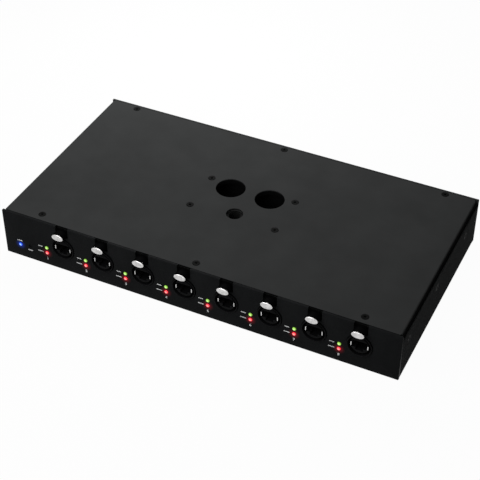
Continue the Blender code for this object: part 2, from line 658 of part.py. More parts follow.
def make_rear_panel(paint):
    """The rear plate with the inlet's cut-out and its screw holes."""
    plate = box((-HALF_WIDTH, PANEL_BACK, 0), (HALF_WIDTH, HALF_DEPTH, CASE_HEIGHT))
    through = PANEL_BACK - GAP, HALF_DEPTH + GAP
    half_width = INLET_BODY[0] / 2 + GAP
    half_height = INLET_BODY[2] / 2 + GAP
    cutout = box((INLET_X - half_width, through[0], INLET_HEIGHT - half_height),
                 (INLET_X + half_width, through[1], INLET_HEIGHT + half_height))
    inlet_screws = [rod(COVER_SCREW_RADIUS + GAP, "Y", *through,
                        (INLET_X + sign * INLET_SCREW_REACH, INLET_HEIGHT), SEGMENTS["tiny"])
                    for sign in (-1, 1)]
    sunk = rotated(countersunk_hole([(0, 0)], 0, PANEL_THICKNESS + GAP), -math.pi / 2, "X")
    panel_screws = repeated(sunk, [(x, HALF_DEPTH, z) for x, z in REAR_SCREW_PLACES])
    mesh = cut(plate, together(cutout, *inlet_screws), panel_screws)
    part("rear_panel", mesh, paint)


def make_lid(paint):
    """The lid: a folded sheet whose side flanges drop inside the base's walls."""
    bottom = CASE_HEIGHT - LID_FLANGE_DROP
    bm = bmesh.new()
    bm.from_mesh(box((-LID_HALF_WIDTH, -BASE_REACH, bottom),
                     (LID_HALF_WIDTH, BASE_REACH, CASE_HEIGHT)))
    folds = [edge for edge in bm.edges
             if all(vert.co.z > CASE_HEIGHT - GAP for vert in edge.verts)
             and abs(edge.verts[0].co.x - edge.verts[1].co.x) < GAP]
    bmesh.ops.bevel(bm, geom=folds, offset=LID_BEND_RADIUS, segments=3, affect="EDGES")
    blank = to_mesh(bm)
    inner = LID_HALF_WIDTH - LID_SHEET
    under = box((-inner, -CASE_DEPTH, 0), (inner, CASE_DEPTH, LID_UNDERSIDE))
    end = WALL_INSIDE - GAP
    ends = together(box((-CASE_WIDTH, -CASE_DEPTH, 0), (CASE_WIDTH, -end, LID_UNDERSIDE)),
                    box((-CASE_WIDTH, end, 0), (CASE_WIDTH, CASE_DEPTH, LID_UNDERSIDE)))
    screws = countersunk_hole(COVER_SCREW_PLACES + RIG_CORNERS, CASE_HEIGHT, LID_SHEET + GAP)
    side = COVER_SCREW_RADIUS + GAP
    flange_holes = together(*[
        rod(side, "X", min(a, b), max(a, b), (y, SIDE_SCREW_HEIGHT), SEGMENTS["tiny"])
        for a, b in ((inner - GAP, HALF_WIDTH), (-inner + GAP, -HALF_WIDTH))
        for y in SIDE_SCREW_DEPTHS])
    mesh = cut(blank, under, ends, screws, flange_holes, rigging_holes(LID_UNDERSIDE, CASE_HEIGHT))
    part("top_cover", mesh, paint)


def rigging_holes(bottom, top):
    """Cutters for the two safety-cable holes and the clamp hole, between two heights."""
    span = bottom - GAP, top + GAP
    holes = [rod(SAFETY_HOLE_RADIUS, "Z", *span, (sign * SAFETY_HOLE_REACH, SAFETY_HOLE_DEPTH),
                 SEGMENTS["hole"]) for sign in (-1, 1)]
    holes.append(rod(CLAMP_HOLE_RADIUS, "Z", *span, (0, CLAMP_HOLE_DEPTH), SEGMENTS["medium"]))
    return together(*holes)


def make_cover_screws(dark):
    """The flush screws along the lid's front and rear edges."""
    screw = countersunk_screw(COVER_SCREW_LENGTH)
    for number, (x, y) in enumerate(COVER_SCREW_PLACES, start=1):
        part(f"cover_screw_{number}", screw, dark, (x, y, CASE_HEIGHT))


def make_rigging(paint, dark):
    """The plate, cable channel, clamp nut and screws under the lid's rigging holes."""
    reach = RIG_SCREW_REACH + RIG_MARGIN
    front = RIG_SCREW_FRONT - RIG_MARGIN - COVER_HEAD_RADIUS
    back = RIG_SCREW_BACK + RIG_MARGIN + SAFETY_HOLE_RADIUS / 2
    shank = COVER_SCREW_RADIUS + GAP
    span = CHANNEL_TOP - CHANNEL_SHEET - GAP, LID_UNDERSIDE
    screw_holes = together(*[rod(shank, "Z", *span, place, SEGMENTS["tiny"])
                             for place in RIG_CORNERS])
    plate = box((-reach, front, RIG_PLATE_UNDERSIDE), (reach, back, RIG_PLATE_TOP))
    part("rigging_plate", cut(plate, rigging_holes(RIG_PLATE_UNDERSIDE, RIG_PLATE_TOP),
                              screw_holes), paint)

    inner_reach = SAFETY_HOLE_REACH + SAFETY_HOLE_RADIUS + CHANNEL_SIDE_ROOM
    inner_front = CLAMP_HOLE_DEPTH - CLAMP_NUT_FLANGE_RADIUS - CHANNEL_END_ROOM
    inner_back = SAFETY_HOLE_DEPTH + SAFETY_HOLE_RADIUS + CHANNEL_END_ROOM
    floor = CHANNEL_TOP - CHANNEL_DROP
    sheet = CHANNEL_SHEET
    flange = box((-reach, front, CHANNEL_TOP - sheet), (reach, back, CHANNEL_TOP))
    trough = box((-inner_reach - sheet, inner_front - sheet, floor),
                 (inner_reach + sheet, inner_back + sheet, CHANNEL_TOP - sheet / 2))
    inside = box((-inner_reach, inner_front, floor + sheet),
                 (inner_reach, inner_back, CHANNEL_TOP + GAP))
    part("cable_channel", cut(fused(flange, trough), inside, screw_holes), paint)

    barrel = CLAMP_HOLE_RADIUS - GAP
    nut_top = RIG_PLATE_TOP - GAP
    flange_top = RIG_PLATE_UNDERSIDE - GAP
    chamfer = CLAMP_THREAD_RADIUS + GAP * 2
    profile = [(CLAMP_THREAD_RADIUS, flange_top - CLAMP_NUT_FLANGE_HEIGHT),
               (CLAMP_NUT_FLANGE_RADIUS, flange_top - CLAMP_NUT_FLANGE_HEIGHT),
               (CLAMP_NUT_FLANGE_RADIUS, flange_top), (barrel, flange_top), (barrel, nut_top),
               (chamfer, nut_top), (CLAMP_THREAD_RADIUS, nut_top - GAP * 2)]
    part("clamp_nut", turned(profile, "Z", (0, CLAMP_HOLE_DEPTH, 0), SEGMENTS["medium"],
                             ring=True), dark)

    screw = countersunk_screw(RIG_SCREW_LENGTH)
    for number, (x, y) in enumerate(RIG_CORNERS, start=1):
        part(f"rigging_screw_{number}", screw, dark, (x, y, CASE_HEIGHT))


def socket_mesh():
    """One socket: housing, front ring and jack nose, centred on the ring at the panel's front."""
    bottom = PART_SEAT - PORT_HEIGHT
    half = HOUSING_WIDTH / 2
    back = BEHIND_PANEL + HOUSING_DEPTH
    body = box((-half, BEHIND_PANEL, bottom), (half, back, HOUSING_TOP))
    ring = rod(RING_RADIUS, "Y", -RING_PROUD, BEHIND_PANEL + GAP * 2, (0, 0), SEGMENTS["ring"])
    ear_inside = STEM_WIDTH / 2 + SOCKET_GAP
    ear_top = STEM_RISE + EAR_TOP_MARGIN
    ears = together(*[
        box((min(a, b), BEHIND_PANEL, HOUSING_TOP - GAP * 2),
            (max(a, b), BEHIND_PANEL + EAR_LENGTH, ear_top))
        for a, b in ((ear_inside, ear_inside + EAR_THICKNESS),
                     (-ear_inside, -ear_inside - EAR_THICKNESS))])
    bore = rod(RING_BORE, "Y", -RING_PROUD - GAP, BORE_DEPTH, (0, 0), SEGMENTS["ring"])
    pin_hole = rod(PIVOT_RADIUS + GAP, "X", -half, half, (PIVOT_DEPTH, STEM_RISE),
                   SEGMENTS["tiny"])
    hook_back = PIVOT_DEPTH + ARM_REACH - HOOK_SETBACK
    hook_slot = box((-HOOK_WIDTH / 2 - SOCKET_GAP, hook_back - HOOK_LENGTH - SOCKET_GAP * 2,
                     RING_BORE - HOOK_ENTRY * 2),
                    (HOOK_WIDTH / 2 + SOCKET_GAP, hook_back + SOCKET_GAP * 2,
                     HOUSING_TOP + SOCKET_GAP))
    shell = cut(fused(body, ring, ears), bore, pin_hole, hook_slot)
    return fused(shell, nose_mesh())


def nose_mesh():
    """The round nose inside a socket's bore, with the plug cavity and the earthing strips' slots."""
    face = -RING_PROUD + NOSE_RECESS
    nose = turned([(0, face), (NOSE_RADIUS - NOSE_CHAMFER, face),
                   (NOSE_RADIUS, face + NOSE_CHAMFER), (NOSE_RADIUS, BORE_DEPTH + GAP * 2),
                   (0, BORE_DEPTH + GAP * 2)], "Y", (0, 0, 0), SEGMENTS["ring"])
    half = JACK_WIDTH / 2
    key = KEY_WIDTH / 2
    outline = [(-half, JACK_ABOVE), (-half, -JACK_BELOW), (-key, -JACK_BELOW),
               (-key, -JACK_BELOW - KEY_DEPTH), (key, -JACK_BELOW - KEY_DEPTH),
               (key, -JACK_BELOW), (half, -JACK_BELOW), (half, JACK_ABOVE)]
    cavity = prism(outline, "Y", face - GAP, face + JACK_DEPTH)
    slots = together(*[
        box((x - STRIP_SLOT_WIDTH / 2, face - GAP, -STRIP_SLOT_HEIGHT / 2),
            (x + STRIP_SLOT_WIDTH / 2, face + STRIP_SLOT_DEPTH, STRIP_SLOT_HEIGHT / 2))
        for x in (-STRIP_SLOT_REACH, STRIP_SLOT_REACH)])
    return cut(nose, cavity, slots)


def latch_mesh():
    """One latch rocker, centred on its pivot: tab, knob, stem, arm, hook and the pin through it."""
    tab_front = -PIVOT_DEPTH - TAB_PROUD
    above = TAB_RISE - STEM_RISE
    tab = prism(shifted(oval_outline(TAB_WIDTH, TAB_HEIGHT), 0, above), "Y",
                tab_front, tab_front + TAB_THICKNESS)
    knob = prism(shifted(oval_outline(KNOB_WIDTH, KNOB_HEIGHT), 0, above), "Y",
                 tab_front + TAB_THICKNESS / 2, -PIVOT_DEPTH + KNOB_ENTRY)
    stem = box((-STEM_WIDTH / 2, -PIVOT_DEPTH + GAP, -STEM_THICKNESS / 2),
               (STEM_WIDTH / 2, -STEM_SETBACK, STEM_THICKNESS / 2))
    arm = box((-ARM_WIDTH / 2, -STEM_SETBACK - GAP, -ARM_THICKNESS / 2),
              (ARM_WIDTH / 2, ARM_REACH, ARM_THICKNESS / 2))
    hook_back = ARM_REACH - HOOK_SETBACK
    hook = box((-HOOK_WIDTH / 2, hook_back - HOOK_LENGTH, RING_BORE - HOOK_ENTRY - STEM_RISE),
               (HOOK_WIDTH / 2, hook_back, 0))
    reach = STEM_WIDTH / 2 + SOCKET_GAP + EAR_THICKNESS
    pin = rod(PIVOT_RADIUS, "X", -reach, reach, (0, 0), SEGMENTS["tiny"])
    return fused(tab, knob, stem, arm, hook, pin)


def make_ports(black, nickel):
    """The eight sockets and the latches that lock a plug in them."""
    socket = socket_mesh()
    latch = latch_mesh()
    for number, x in enumerate(PORT_XS, start=1):
        part(f"socket_{number}", socket, black, (x, FRONT_FACE, PORT_HEIGHT))
        part(f"latch_{number}", latch, nickel,
             (x, FRONT_FACE + PIVOT_DEPTH, PORT_HEIGHT + STEM_RISE))


def lamp_mesh(heights):
    """A block on the board with a lens at each height that looks through the front panel."""
    profile = [(0, -LED_PROUD), (LED_RADIUS * LENS_SHOULDER, -LED_PROUD * LENS_SHOULDER),
               (LED_RADIUS, 0), (LED_RADIUS, BEHIND_PANEL + GAP), (0, BEHIND_PANEL + GAP)]
    half = LED_BLOCK_WIDTH / 2
    block = box((-half, BEHIND_PANEL, PART_SEAT),
                (half, BEHIND_PANEL + LED_BLOCK_DEPTH, max(heights) + LED_BLOCK_ABOVE))
    lenses = [turned(profile, "Y", (0, 0, z), SEGMENTS["small"]) for z in heights]
    return fused(block, *lenses)


def make_lights(clear, blue):
    """The pair of indicators beside each socket, and the power indicator."""
    pair = lamp_mesh((LED_LOWER_HEIGHT, LED_UPPER_HEIGHT))
    for number, x in enumerate(PORT_XS, start=1):
        part(f"port_lights_{number}", pair, clear, (x + LED_OFFSET, FRONT_FACE, 0))
    part("power_light", lamp_mesh((LED_LOWER_HEIGHT,)), blue, (POWER_LED_X, FRONT_FACE, 0))


def make_button(grey):
    """The recessed reset button, with the collar that keeps it behind the panel."""
    collar_back = BEHIND_PANEL + BUTTON_COLLAR_THICKNESS
    profile = [(0, BUTTON_RECESS), (BUTTON_RADIUS, BUTTON_RECESS), (BUTTON_RADIUS, BEHIND_PANEL),
               (BUTTON_COLLAR_RADIUS, BEHIND_PANEL), (BUTTON_COLLAR_RADIUS, collar_back),
               (BUTTON_RADIUS, collar_back), (BUTTON_RADIUS, collar_back + BUTTON_STEM_LENGTH),
               (0, collar_back + BUTTON_STEM_LENGTH)]
    part("reset_button", turned(profile, "Y", (0, 0, 0), SEGMENTS["small"]), grey,
         (BUTTON_X, FRONT_FACE, BUTTON_HEIGHT))


def make_boards(green, black, zinc, grey):
    """The main board with its chips, and the insulating sheet under the supply."""
    front = -WALL_INSIDE + GAP
    seat = BOARD_TOP - GAP
    main = box((-MAIN_BOARD_REACH, front, BOARD_HEIGHT),
               (MAIN_BOARD_REACH, MAIN_BOARD_BACK, BOARD_TOP))
    can = rod(BOARD_CAPACITOR_RADIUS, "Z", seat, BOARD_TOP + BOARD_CAPACITOR_HEIGHT, (0, 0),
              SEGMENTS["small"])
    cans = repeated(can, [(x, y, 0) for x, y in BOARD_CAPACITORS])
    chips = together(*[standing_box(place, PHY_SIZE, seat) for place in PHY_PLACES])
    width, length, height = CHIP_SIZE
    switch_chip = standing_box(CHIP_PLACE, (width, length, GAP + height), seat)
    terminal = standing_box(board_terminal(), TERMINAL_SIZE, seat)
    button_back = BEHIND_PANEL + BUTTON_COLLAR_THICKNESS + BUTTON_STEM_LENGTH
    switch_front = FRONT_FACE + button_back + BUTTON_TRAVEL + GAP
    switch = box((BUTTON_X - SWITCH_WIDTH / 2, switch_front, seat),
                 (BUTTON_X + SWITCH_WIDTH / 2, switch_front + SWITCH_DEPTH,
                  BUTTON_HEIGHT + SWITCH_ABOVE))
    part("main_board", fused(main, cans, chips, switch_chip, terminal, switch), green)

    sheet = box((SUPPLY_LEFT - SHEET_MARGIN, SUPPLY_FRONT - SHEET_MARGIN, BASE_SHEET + GAP),
                (SUPPLY_RIGHT + SHEET_MARGIN, SUPPLY_BACK + SHEET_MARGIN,
                 BASE_SHEET + GAP + SHEET_THICKNESS))
    room = together(*[rod(STANDOFF_RADIUS + GAP, "Z", 0, BOARD_HEIGHT, place, SEGMENTS["small"])
                      for place in SUPPLY_STANDOFFS])
    part("insulating_sheet", cut(sheet, room), grey)

    for side, place in PORT_TRANSFORMER_PLACES.items():
        part(f"port_transformers_{side}", standing_box(place, PORT_TRANSFORMER_SIZE, PART_SEAT),
             black)
    make_chip_sink(zinc)


def make_chip_sink(zinc):
    """The finned cooler on the switch chip, cut as one comb along its length."""
    bottom = BOARD_TOP + CHIP_SIZE[2] + GAP
    width, length = SINK_SIZE
    pitch = (width - SINK_FIN_THICKNESS) / (SINK_FIN_COUNT - 1)
    left = CHIP_PLACE[0] - width / 2
    base = bottom + SINK_BASE
    outline = [(left, bottom), (left + width, bottom)]
    for index in reversed(range(SINK_FIN_COUNT)):
        start = left + pitch * index
        outline += [(start + SINK_FIN_THICKNESS, base + SINK_FIN_HEIGHT),
                    (start, base + SINK_FIN_HEIGHT)]
        if index:
            outline += [(start, base), (start - pitch + SINK_FIN_THICKNESS, base)]
    part("chip_cooler", prism(outline, "Y", CHIP_PLACE[1] - length / 2,
                              CHIP_PLACE[1] + length / 2), zinc)


def make_supply(green, black, zinc, yellow):
    """The power supply: its board with small parts, and the larger parts that stand on it."""
    seat = BOARD_TOP - GAP
    board = box((SUPPLY_LEFT, SUPPLY_FRONT, BOARD_HEIGHT), (SUPPLY_RIGHT, SUPPLY_BACK, BOARD_TOP))
    cans = together(*[rod(OUTPUT_CAPACITOR_RADIUS, "Z", seat, BOARD_TOP + OUTPUT_CAPACITOR_HEIGHT,
                          on_supply(offset), SEGMENTS["small"])
                      for offset in OUTPUT_CAPACITOR_OFFSETS])
    terminals = together(*[standing_box(on_supply(offset), TERMINAL_SIZE, seat)
                           for offset in (INPUT_TERMINAL_OFFSET, OUTPUT_TERMINAL_OFFSET)])
    choke = sleeve(CHOKE_RADIUS, CHOKE_BORE, "Z", seat, BOARD_TOP + CHOKE_HEIGHT,
                   on_supply(CHOKE_OFFSET), SEGMENTS["small"])
    part("supply_board", fused(board, cans, terminals, choke), green)

    width, depth, height = TRANSFORMER_SIZE
    x, y = on_supply(TRANSFORMER_OFFSET)
    core = standing_box((x, y), TRANSFORMER_SIZE, PART_SEAT)
    winding = box((x - width / 2 - WINDING_MARGIN / 2, y - depth / 2 + WINDING_MARGIN,
                   PART_SEAT + WINDING_MARGIN),
                  (x + width / 2 + WINDING_MARGIN / 2, y + depth / 2 - WINDING_MARGIN,
                   PART_SEAT + height - WINDING_MARGIN))
    part("supply_transformer", fused(core, winding), yellow)
    part("supply_capacitor", rod(BULK_CAPACITOR_RADIUS, "Z", PART_SEAT,
                                 PART_SEAT + BULK_CAPACITOR_HEIGHT,
                                 on_supply(BULK_CAPACITOR_OFFSET), SEGMENTS["medium"]), black)
    x, y = on_supply(SUPPLY_SINK_OFFSET)
    thick, long, high = SUPPLY_SINK_SIZE
    foot = x - SUPPLY_SINK_FOOT
    outline = [(x, PART_SEAT), (x + thick, PART_SEAT), (x + thick, PART_SEAT + high),
               (foot, PART_SEAT + high), (foot, PART_SEAT + high - thick),
               (x, PART_SEAT + high - thick)]
    part("supply_cooler", prism(outline, "Y", y - long / 2, y + long / 2), zinc)


def make_inlet(black, glass):
    """The mains inlet: a flanged body moulded round three blades, its fuse drawer and the fuse."""
    width, depth, height = INLET_BODY
    flange_width, flange_depth, flange_height = INLET_FLANGE
    face = HALF_DEPTH + GAP + flange_depth
    body = box((-width / 2, face - flange_depth - depth, -height / 2),
               (width / 2, face - flange_depth + GAP, height / 2))
    flange = prism(rounded_outline(flange_width, flange_height, INLET_FLANGE_CORNER), "Y",
                   face - flange_depth, face)
    half = INLET_CAVITY_WIDTH / 2
    top = INLET_CAVITY_RISE + INLET_CAVITY_HEIGHT / 2
    low = INLET_CAVITY_RISE - INLET_CAVITY_HEIGHT / 2
    corner = INLET_CAVITY_CORNER
    outline = [(-half, low), (half, low), (half, top - corner), (half - corner, top),
               (-half + corner, top), (-half, top - corner)]
    floor = face - INLET_CAVITY_DEPTH
    cavity = prism(outline, "Y", floor, face + GAP)
    rises = {-BLADE_REACH: LIVE_RISE, 0: EARTH_RISE, BLADE_REACH: LIVE_RISE}
    blades = []
    for x, rise in rises.items():
        z = INLET_CAVITY_RISE + rise
        near = (x - BLADE_WIDTH / 2, face - flange_depth - depth - BLADE_TAIL, z - BLADE_HEIGHT / 2)
        far = (x + BLADE_WIDTH / 2, floor + BLADE_LENGTH, z + BLADE_HEIGHT / 2)
        blades.append(box(near, far))
    drawer_half = DRAWER_WIDTH / 2
    drawer_z = -DRAWER_DROP
    drawer_room = box((-drawer_half - GAP, face - DRAWER_LENGTH - GAP,
                       drawer_z - DRAWER_HEIGHT / 2 - GAP),
                      (drawer_half + GAP, face + GAP, drawer_z + DRAWER_HEIGHT / 2 + GAP))
    screws = together(*[rod(COVER_SCREW_RADIUS + GAP, "Y", HALF_DEPTH, face + GAP,
                            (sign * INLET_SCREW_REACH, 0), SEGMENTS["tiny"]) for sign in (-1, 1)])
    place = (INLET_X, 0, INLET_HEIGHT)
    shell = cut(fused(body, flange), cavity, drawer_room, screws)
    part("mains_inlet", fused(shell, together(*blades)), black, place)

    tray = box((-drawer_half, face - DRAWER_LENGTH, drawer_z - DRAWER_HEIGHT / 2),
               (drawer_half, face, drawer_z + DRAWER_HEIGHT / 2))
    trough_end = face - DRAWER_FACE
    trough = box((-FUSE_RADIUS - GAP, trough_end - DRAWER_TROUGH_LENGTH, drawer_z - FUSE_RADIUS - GAP),
                 (FUSE_RADIUS + GAP, trough_end, drawer_z + DRAWER_HEIGHT))
    grip_half = drawer_half - GAP * 5
    grip = box((-grip_half, face - GAP * 3, drawer_z - GAP * 2),
               (grip_half, face + GAP, drawer_z + GAP * 2))
    part("fuse_drawer", cut(tray, trough, grip), black, place)
    fuse_end = trough_end - GAP
    part("fuse", rod(FUSE_RADIUS, "Y", fuse_end - FUSE_LENGTH, fuse_end, (0, drawer_z),
                     SEGMENTS["small"]), glass, place)


def smooth_route(knots, count):
    """Points along a smooth curve through the knots, as a Catmull-Rom spline."""
    knots = [Vector(knot) for knot in knots]
    padded = [knots[0] * 2 - knots[1], *knots, knots[-1] * 2 - knots[-2]]
    spans = len(knots) - 1
    points = []
    for step in range(count):
        where = min(step / (count - 1) * spans, spans - 0.000001)
        span, t = int(where), where - int(where)
        a, b, c, d = padded[span:span + 4]
        points.append(0.5 * (b * 2 + (c - a) * t + (a * 2 - b * 5 + c * 4 - d) * t ** 2
                             + (b * 3 - a - c * 3 + d) * t ** 3))
    return points


def wire(name, knots, radius, finish):
    """An insulated wire: a round tube along a smooth route, square to what it meets."""
    route = smooth_route(knots, WIRE_POINTS)
    first, last = route[0], route[-1]
    lead = (route[1] - first).length / 2
    leaving = (Vector(knots[1]) - first).normalized() * lead
    meeting = (Vector(knots[-2]) - last).normalized() * lead
    points = [first, first + leaving, *route[1:-1], last + meeting, last]
    curve = bpy.data.curves.new(name, "CURVE")
    curve.dimensions = "3D"
    curve.bevel_depth = radius
    curve.bevel_resolution = 2
    curve.use_fill_caps = True
    spline = curve.splines.new("POLY")
    spline.points.add(len(points) - 1)
    for target, point in zip(spline.points, points):
        target.co = (*point, 1)
    curve.materials.append(finish)
    thing = bpy.data.objects.new(name, curve)
    bpy.context.scene.collection.objects.link(thing)


def make_wires(brown, blue, yellow, red):
    """The mains wires from the inlet to the supply and earth stud, and the supply's output."""
    tail = HALF_DEPTH + GAP - INLET_BODY[1] - BLADE_TAIL - GAP
    live_z = INLET_HEIGHT + INLET_CAVITY_RISE + LIVE_RISE
    earth_z = INLET_HEIGHT + INLET_CAVITY_RISE + EARTH_RISE
    entry_z = PART_SEAT + TERMINAL_ENTRY_HEIGHT
    x, y = on_supply(INPUT_TERMINAL_OFFSET)
    top = BOARD_TOP + TERMINAL_SIZE[2] + GAP
    spread = TERMINAL_ENTRY_SPREAD / 2
    for name, blade, end, forward, finish in (
            ("neutral_wire", -BLADE_REACH, x - spread, WIRE_BEND * 2.3, blue),
            ("live_wire", BLADE_REACH, x + spread, WIRE_BEND * 1.4, brown)):
        start = INLET_X + blade
        wire(name, [(start, tail, live_z), (start, tail - WIRE_BEND, live_z),
                    ((start + end) / 2, tail - forward, live_z),
                    (end, y, top + WIRE_BEND), (end, y, top)], WIRE_RADIUS, finish)
    stud_x, stud_y = EARTH_STUD_PLACE
    stud_top = BASE_SHEET + EARTH_STUD_HEIGHT + GAP
    wire("earth_wire", [(INLET_X, tail, earth_z), (INLET_X, tail - WIRE_BEND, earth_z),
                        (INLET_X - WIRE_BEND * 3, tail - WIRE_BEND, earth_z),
                        (stud_x + WIRE_BEND, (tail + stud_y) / 2 - WIRE_BEND / 2,
                         (earth_z + stud_top) / 2),
                        (stud_x, stud_y, stud_top + WIRE_BEND), (stud_x, stud_y, stud_top)],
         WIRE_RADIUS, yellow)
    out_x, out_y = on_supply(OUTPUT_TERMINAL_OFFSET)
    front = out_y - TERMINAL_SIZE[1] / 2 - GAP
    in_x, in_y = board_terminal()
    back = in_y + TERMINAL_SIZE[1] / 2 + GAP
    wire("supply_cable", [(out_x, front, entry_z), ((out_x + in_x) / 2, (front + back) / 2, entry_z),
                          (in_x, back, entry_z)], SUPPLY_CABLE_RADIUS, red)


def main():
    """Make every piece of the switch."""
    clear_scene()
    paint = material("case_paint", (0.035, 0.036, 0.036), 0.42)
    gloss = material("panel_gloss", (0.012, 0.012, 0.013), 0.16)
    black = material("black_plastic", (0.012, 0.012, 0.012), 0.38)
    grey = material("grey_plastic", (0.22, 0.22, 0.21), 0.5)
    dark = material("black_screws", (0.03, 0.03, 0.032), 0.35, 1.0)
    zinc = material("plain_aluminium", (0.66, 0.67, 0.68), 0.4, 1.0)
    nickel = material("satin_nickel", (0.78, 0.77, 0.75), 0.25, 1.0)
    tape = material("yellow_tape", (0.80, 0.55, 0.06), 0.35)
    board = material("board_green", (0.02, 0.12, 0.05), 0.4)
    glass = material("fuse_glass", (0.75, 0.78, 0.78), 0.08)
    clear = material("clear_lens", (0.80, 0.80, 0.78), 0.3)
    blue_light = material("blue_light", (0.05, 0.22, 1.0), 0.3, glow=2.0)
    red = material("red_insulation", (0.45, 0.03, 0.03), 0.45)
    brown = material("brown_insulation", (0.14, 0.05, 0.02), 0.45)
    blue = material("blue_insulation", (0.03, 0.10, 0.40), 0.45)
    yellow = material("yellow_green_insulation", (0.45, 0.50, 0.03), 0.45)

    make_base(paint)
    make_front_panel(gloss)
    make_rear_panel(paint)
    make_lid(paint)
    make_cover_screws(dark)
    make_rigging(paint, dark)
    make_ports(black, nickel)
    make_lights(clear, blue_light)
    make_button(grey)
    make_boards(board, black, zinc, grey)
    make_supply(board, black, zinc, tape)
    make_inlet(black, glass)
    make_wires(brown, blue, yellow, red)


main()
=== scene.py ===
"""The looks of a stage network switch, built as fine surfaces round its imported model."""

import json
import math

import bmesh
import bpy
import numpy as np
from bpy.props import FloatProperty, FloatVectorProperty, IntProperty, PointerProperty
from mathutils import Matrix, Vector
from mathutils.geometry import delaunay_2d_cdt


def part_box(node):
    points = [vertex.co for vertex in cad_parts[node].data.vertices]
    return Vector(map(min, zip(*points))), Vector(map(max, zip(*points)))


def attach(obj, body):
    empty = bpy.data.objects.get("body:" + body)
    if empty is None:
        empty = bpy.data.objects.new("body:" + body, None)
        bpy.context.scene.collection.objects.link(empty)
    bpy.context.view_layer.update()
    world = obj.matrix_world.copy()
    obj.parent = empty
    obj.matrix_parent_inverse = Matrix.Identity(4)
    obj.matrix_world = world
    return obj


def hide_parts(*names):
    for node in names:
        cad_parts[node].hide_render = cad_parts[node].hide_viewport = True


bl_info = {
    "name": "Stage network switch",
    "version": (1, 0, 0),
    "blender": (4, 5, 0),
    "location": "3D View > Sidebar > Switch",
    "description": "Builds a low steel network switch with locking sockets and push latches",
    "category": "Add Mesh",
}

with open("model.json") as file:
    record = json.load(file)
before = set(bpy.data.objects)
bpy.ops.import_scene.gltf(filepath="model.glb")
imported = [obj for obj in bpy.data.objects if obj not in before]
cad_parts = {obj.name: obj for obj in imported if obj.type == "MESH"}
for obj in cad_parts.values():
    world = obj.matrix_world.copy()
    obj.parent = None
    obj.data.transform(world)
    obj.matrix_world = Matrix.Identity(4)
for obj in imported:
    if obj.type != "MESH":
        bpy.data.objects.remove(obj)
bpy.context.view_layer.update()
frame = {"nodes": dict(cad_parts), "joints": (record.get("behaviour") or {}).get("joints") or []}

PORTS = range(1, 9)
PANEL_LOW, PANEL_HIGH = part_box("front_panel")
REAR_LOW, REAR_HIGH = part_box("rear_panel")
BASE_LOW, BASE_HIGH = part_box("chassis_base")
LID_LOW, LID_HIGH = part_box("top_cover")
INLET_LOW, INLET_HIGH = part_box("mains_inlet")
DRAWER_LOW, DRAWER_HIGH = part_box("fuse_drawer")
# Both panels are cut from one sheet, but the front one's box also holds its studs
PANEL_SHEET = REAR_HIGH.y - REAR_LOW.y
PIVOTS = {joint["name"]: Vector(joint["pos_m"]) for joint in frame["joints"] if "pos_m" in joint}

PORT_XS = {port: PIVOTS[f"latch_press_{port}"].x for port in PORTS}
# Heights of the sockets, lights and inlet, and how far the lights stand left of a socket
PORT_Z = 0.023
LIGHT_OFFSET = -0.0163
LINK_Z = 0.0178
POWER_Z = 0.0126
INLET_Z = 0.022
# Room round a part in its hole and round a thread, and where the sockets' blocks start behind
# the panel's front
ROOM = 0.0003
SCREW_ROOM = 0.0002
BEHIND_PANEL = 0.0023
# How much of the case's colour is kept where painted shade makes it nearly black
PAINTED_SHADE_SHARE = 0.12
COVER_SCREWS = [f"cover_screw_{number}" for number in range(1, 7)]
RIGGING_SCREWS = [f"rigging_screw_{number}" for number in range(1, 5)]


def middle(node):
    """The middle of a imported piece's box."""
    low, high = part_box(node)
    return (low + high) / 2


# Sizes and colours that a user would change


def length(name, description, default):
    """A length property in metres."""
    return FloatProperty(name=name, description=description, default=default, min=0.0,
                         unit="LENGTH", subtype="DISTANCE", precision=5)


def colour(name, description, default):
    """A colour property."""
    return FloatVectorProperty(name=name, description=description, default=default, size=3,
                               min=0.0, max=1.0, subtype="COLOR")


class CaseSizes(bpy.types.PropertyGroup):
    """Sizes of the case's sheets."""
    sheet: length("Base sheet", "Thickness of the base's steel sheet", 0.001)
    lid_sheet: length("Lid sheet", "Thickness of the lid's steel sheet", 0.0015)
    lid_bend: length("Lid bend", "Outer radius of the lid's folds", 0.0016)
    base_bend: length("Base bend", "Outer radius of the base's folds", 0.0016)
    panel_edge: length("Panel edge", "Chamfer round the front and rear panels", 0.0004)
    hole_edge: length("Hole edge", "Broken edge round a hole", 0.00015)
    safety_hole: length("Safety hole", "Radius of the safety-cable holes", 0.0125)
    clamp_hole: length("Clamp hole", "Radius of the clamp hole", 0.007)


class SocketSizes(bpy.types.PropertyGroup):
    """Sizes of a locking socket."""
    ring: length("Ring", "Outer radius of the front ring", 0.0102)
    bore: length("Bore", "Inner radius of the front ring", 0.0093)
    proud: length("Ring stands out", "How far the ring stands out of the panel", 0.0012)
    nose: length("Nose", "Radius of the nose inside the ring", 0.0077)
    recess: length("Nose recess", "How far the nose lies behind the ring's front", 0.0008)
    cavity: length("Cavity", "Width of the plug cavity", 0.0117)
    contacts: IntProperty(name="Contacts", description="Contacts in the plug cavity", default=8)


class LatchSizes(bpy.types.PropertyGroup):
    """Sizes of a push latch."""
    tab_width: length("Tab width", "Width of the oval tab", 0.0102)
    tab_height: length("Tab height", "Height of the oval tab", 0.0057)
    tab_thickness: length("Tab thickness", "Thickness of the oval tab", 0.0014)
    crown: length("Tab crown", "How far the tab's face is domed", 0.0003)
    knob_width: length("Knob width", "Width of the knob behind the tab", 0.0104)
    knob_height: length("Knob height", "Height of the knob behind the tab", 0.0062)
    stem_width: length("Stem width", "Width of the knob's stem", 0.0098)
    stem_thickness: length("Stem thickness", "Thickness of the knob's stem", 0.0041)


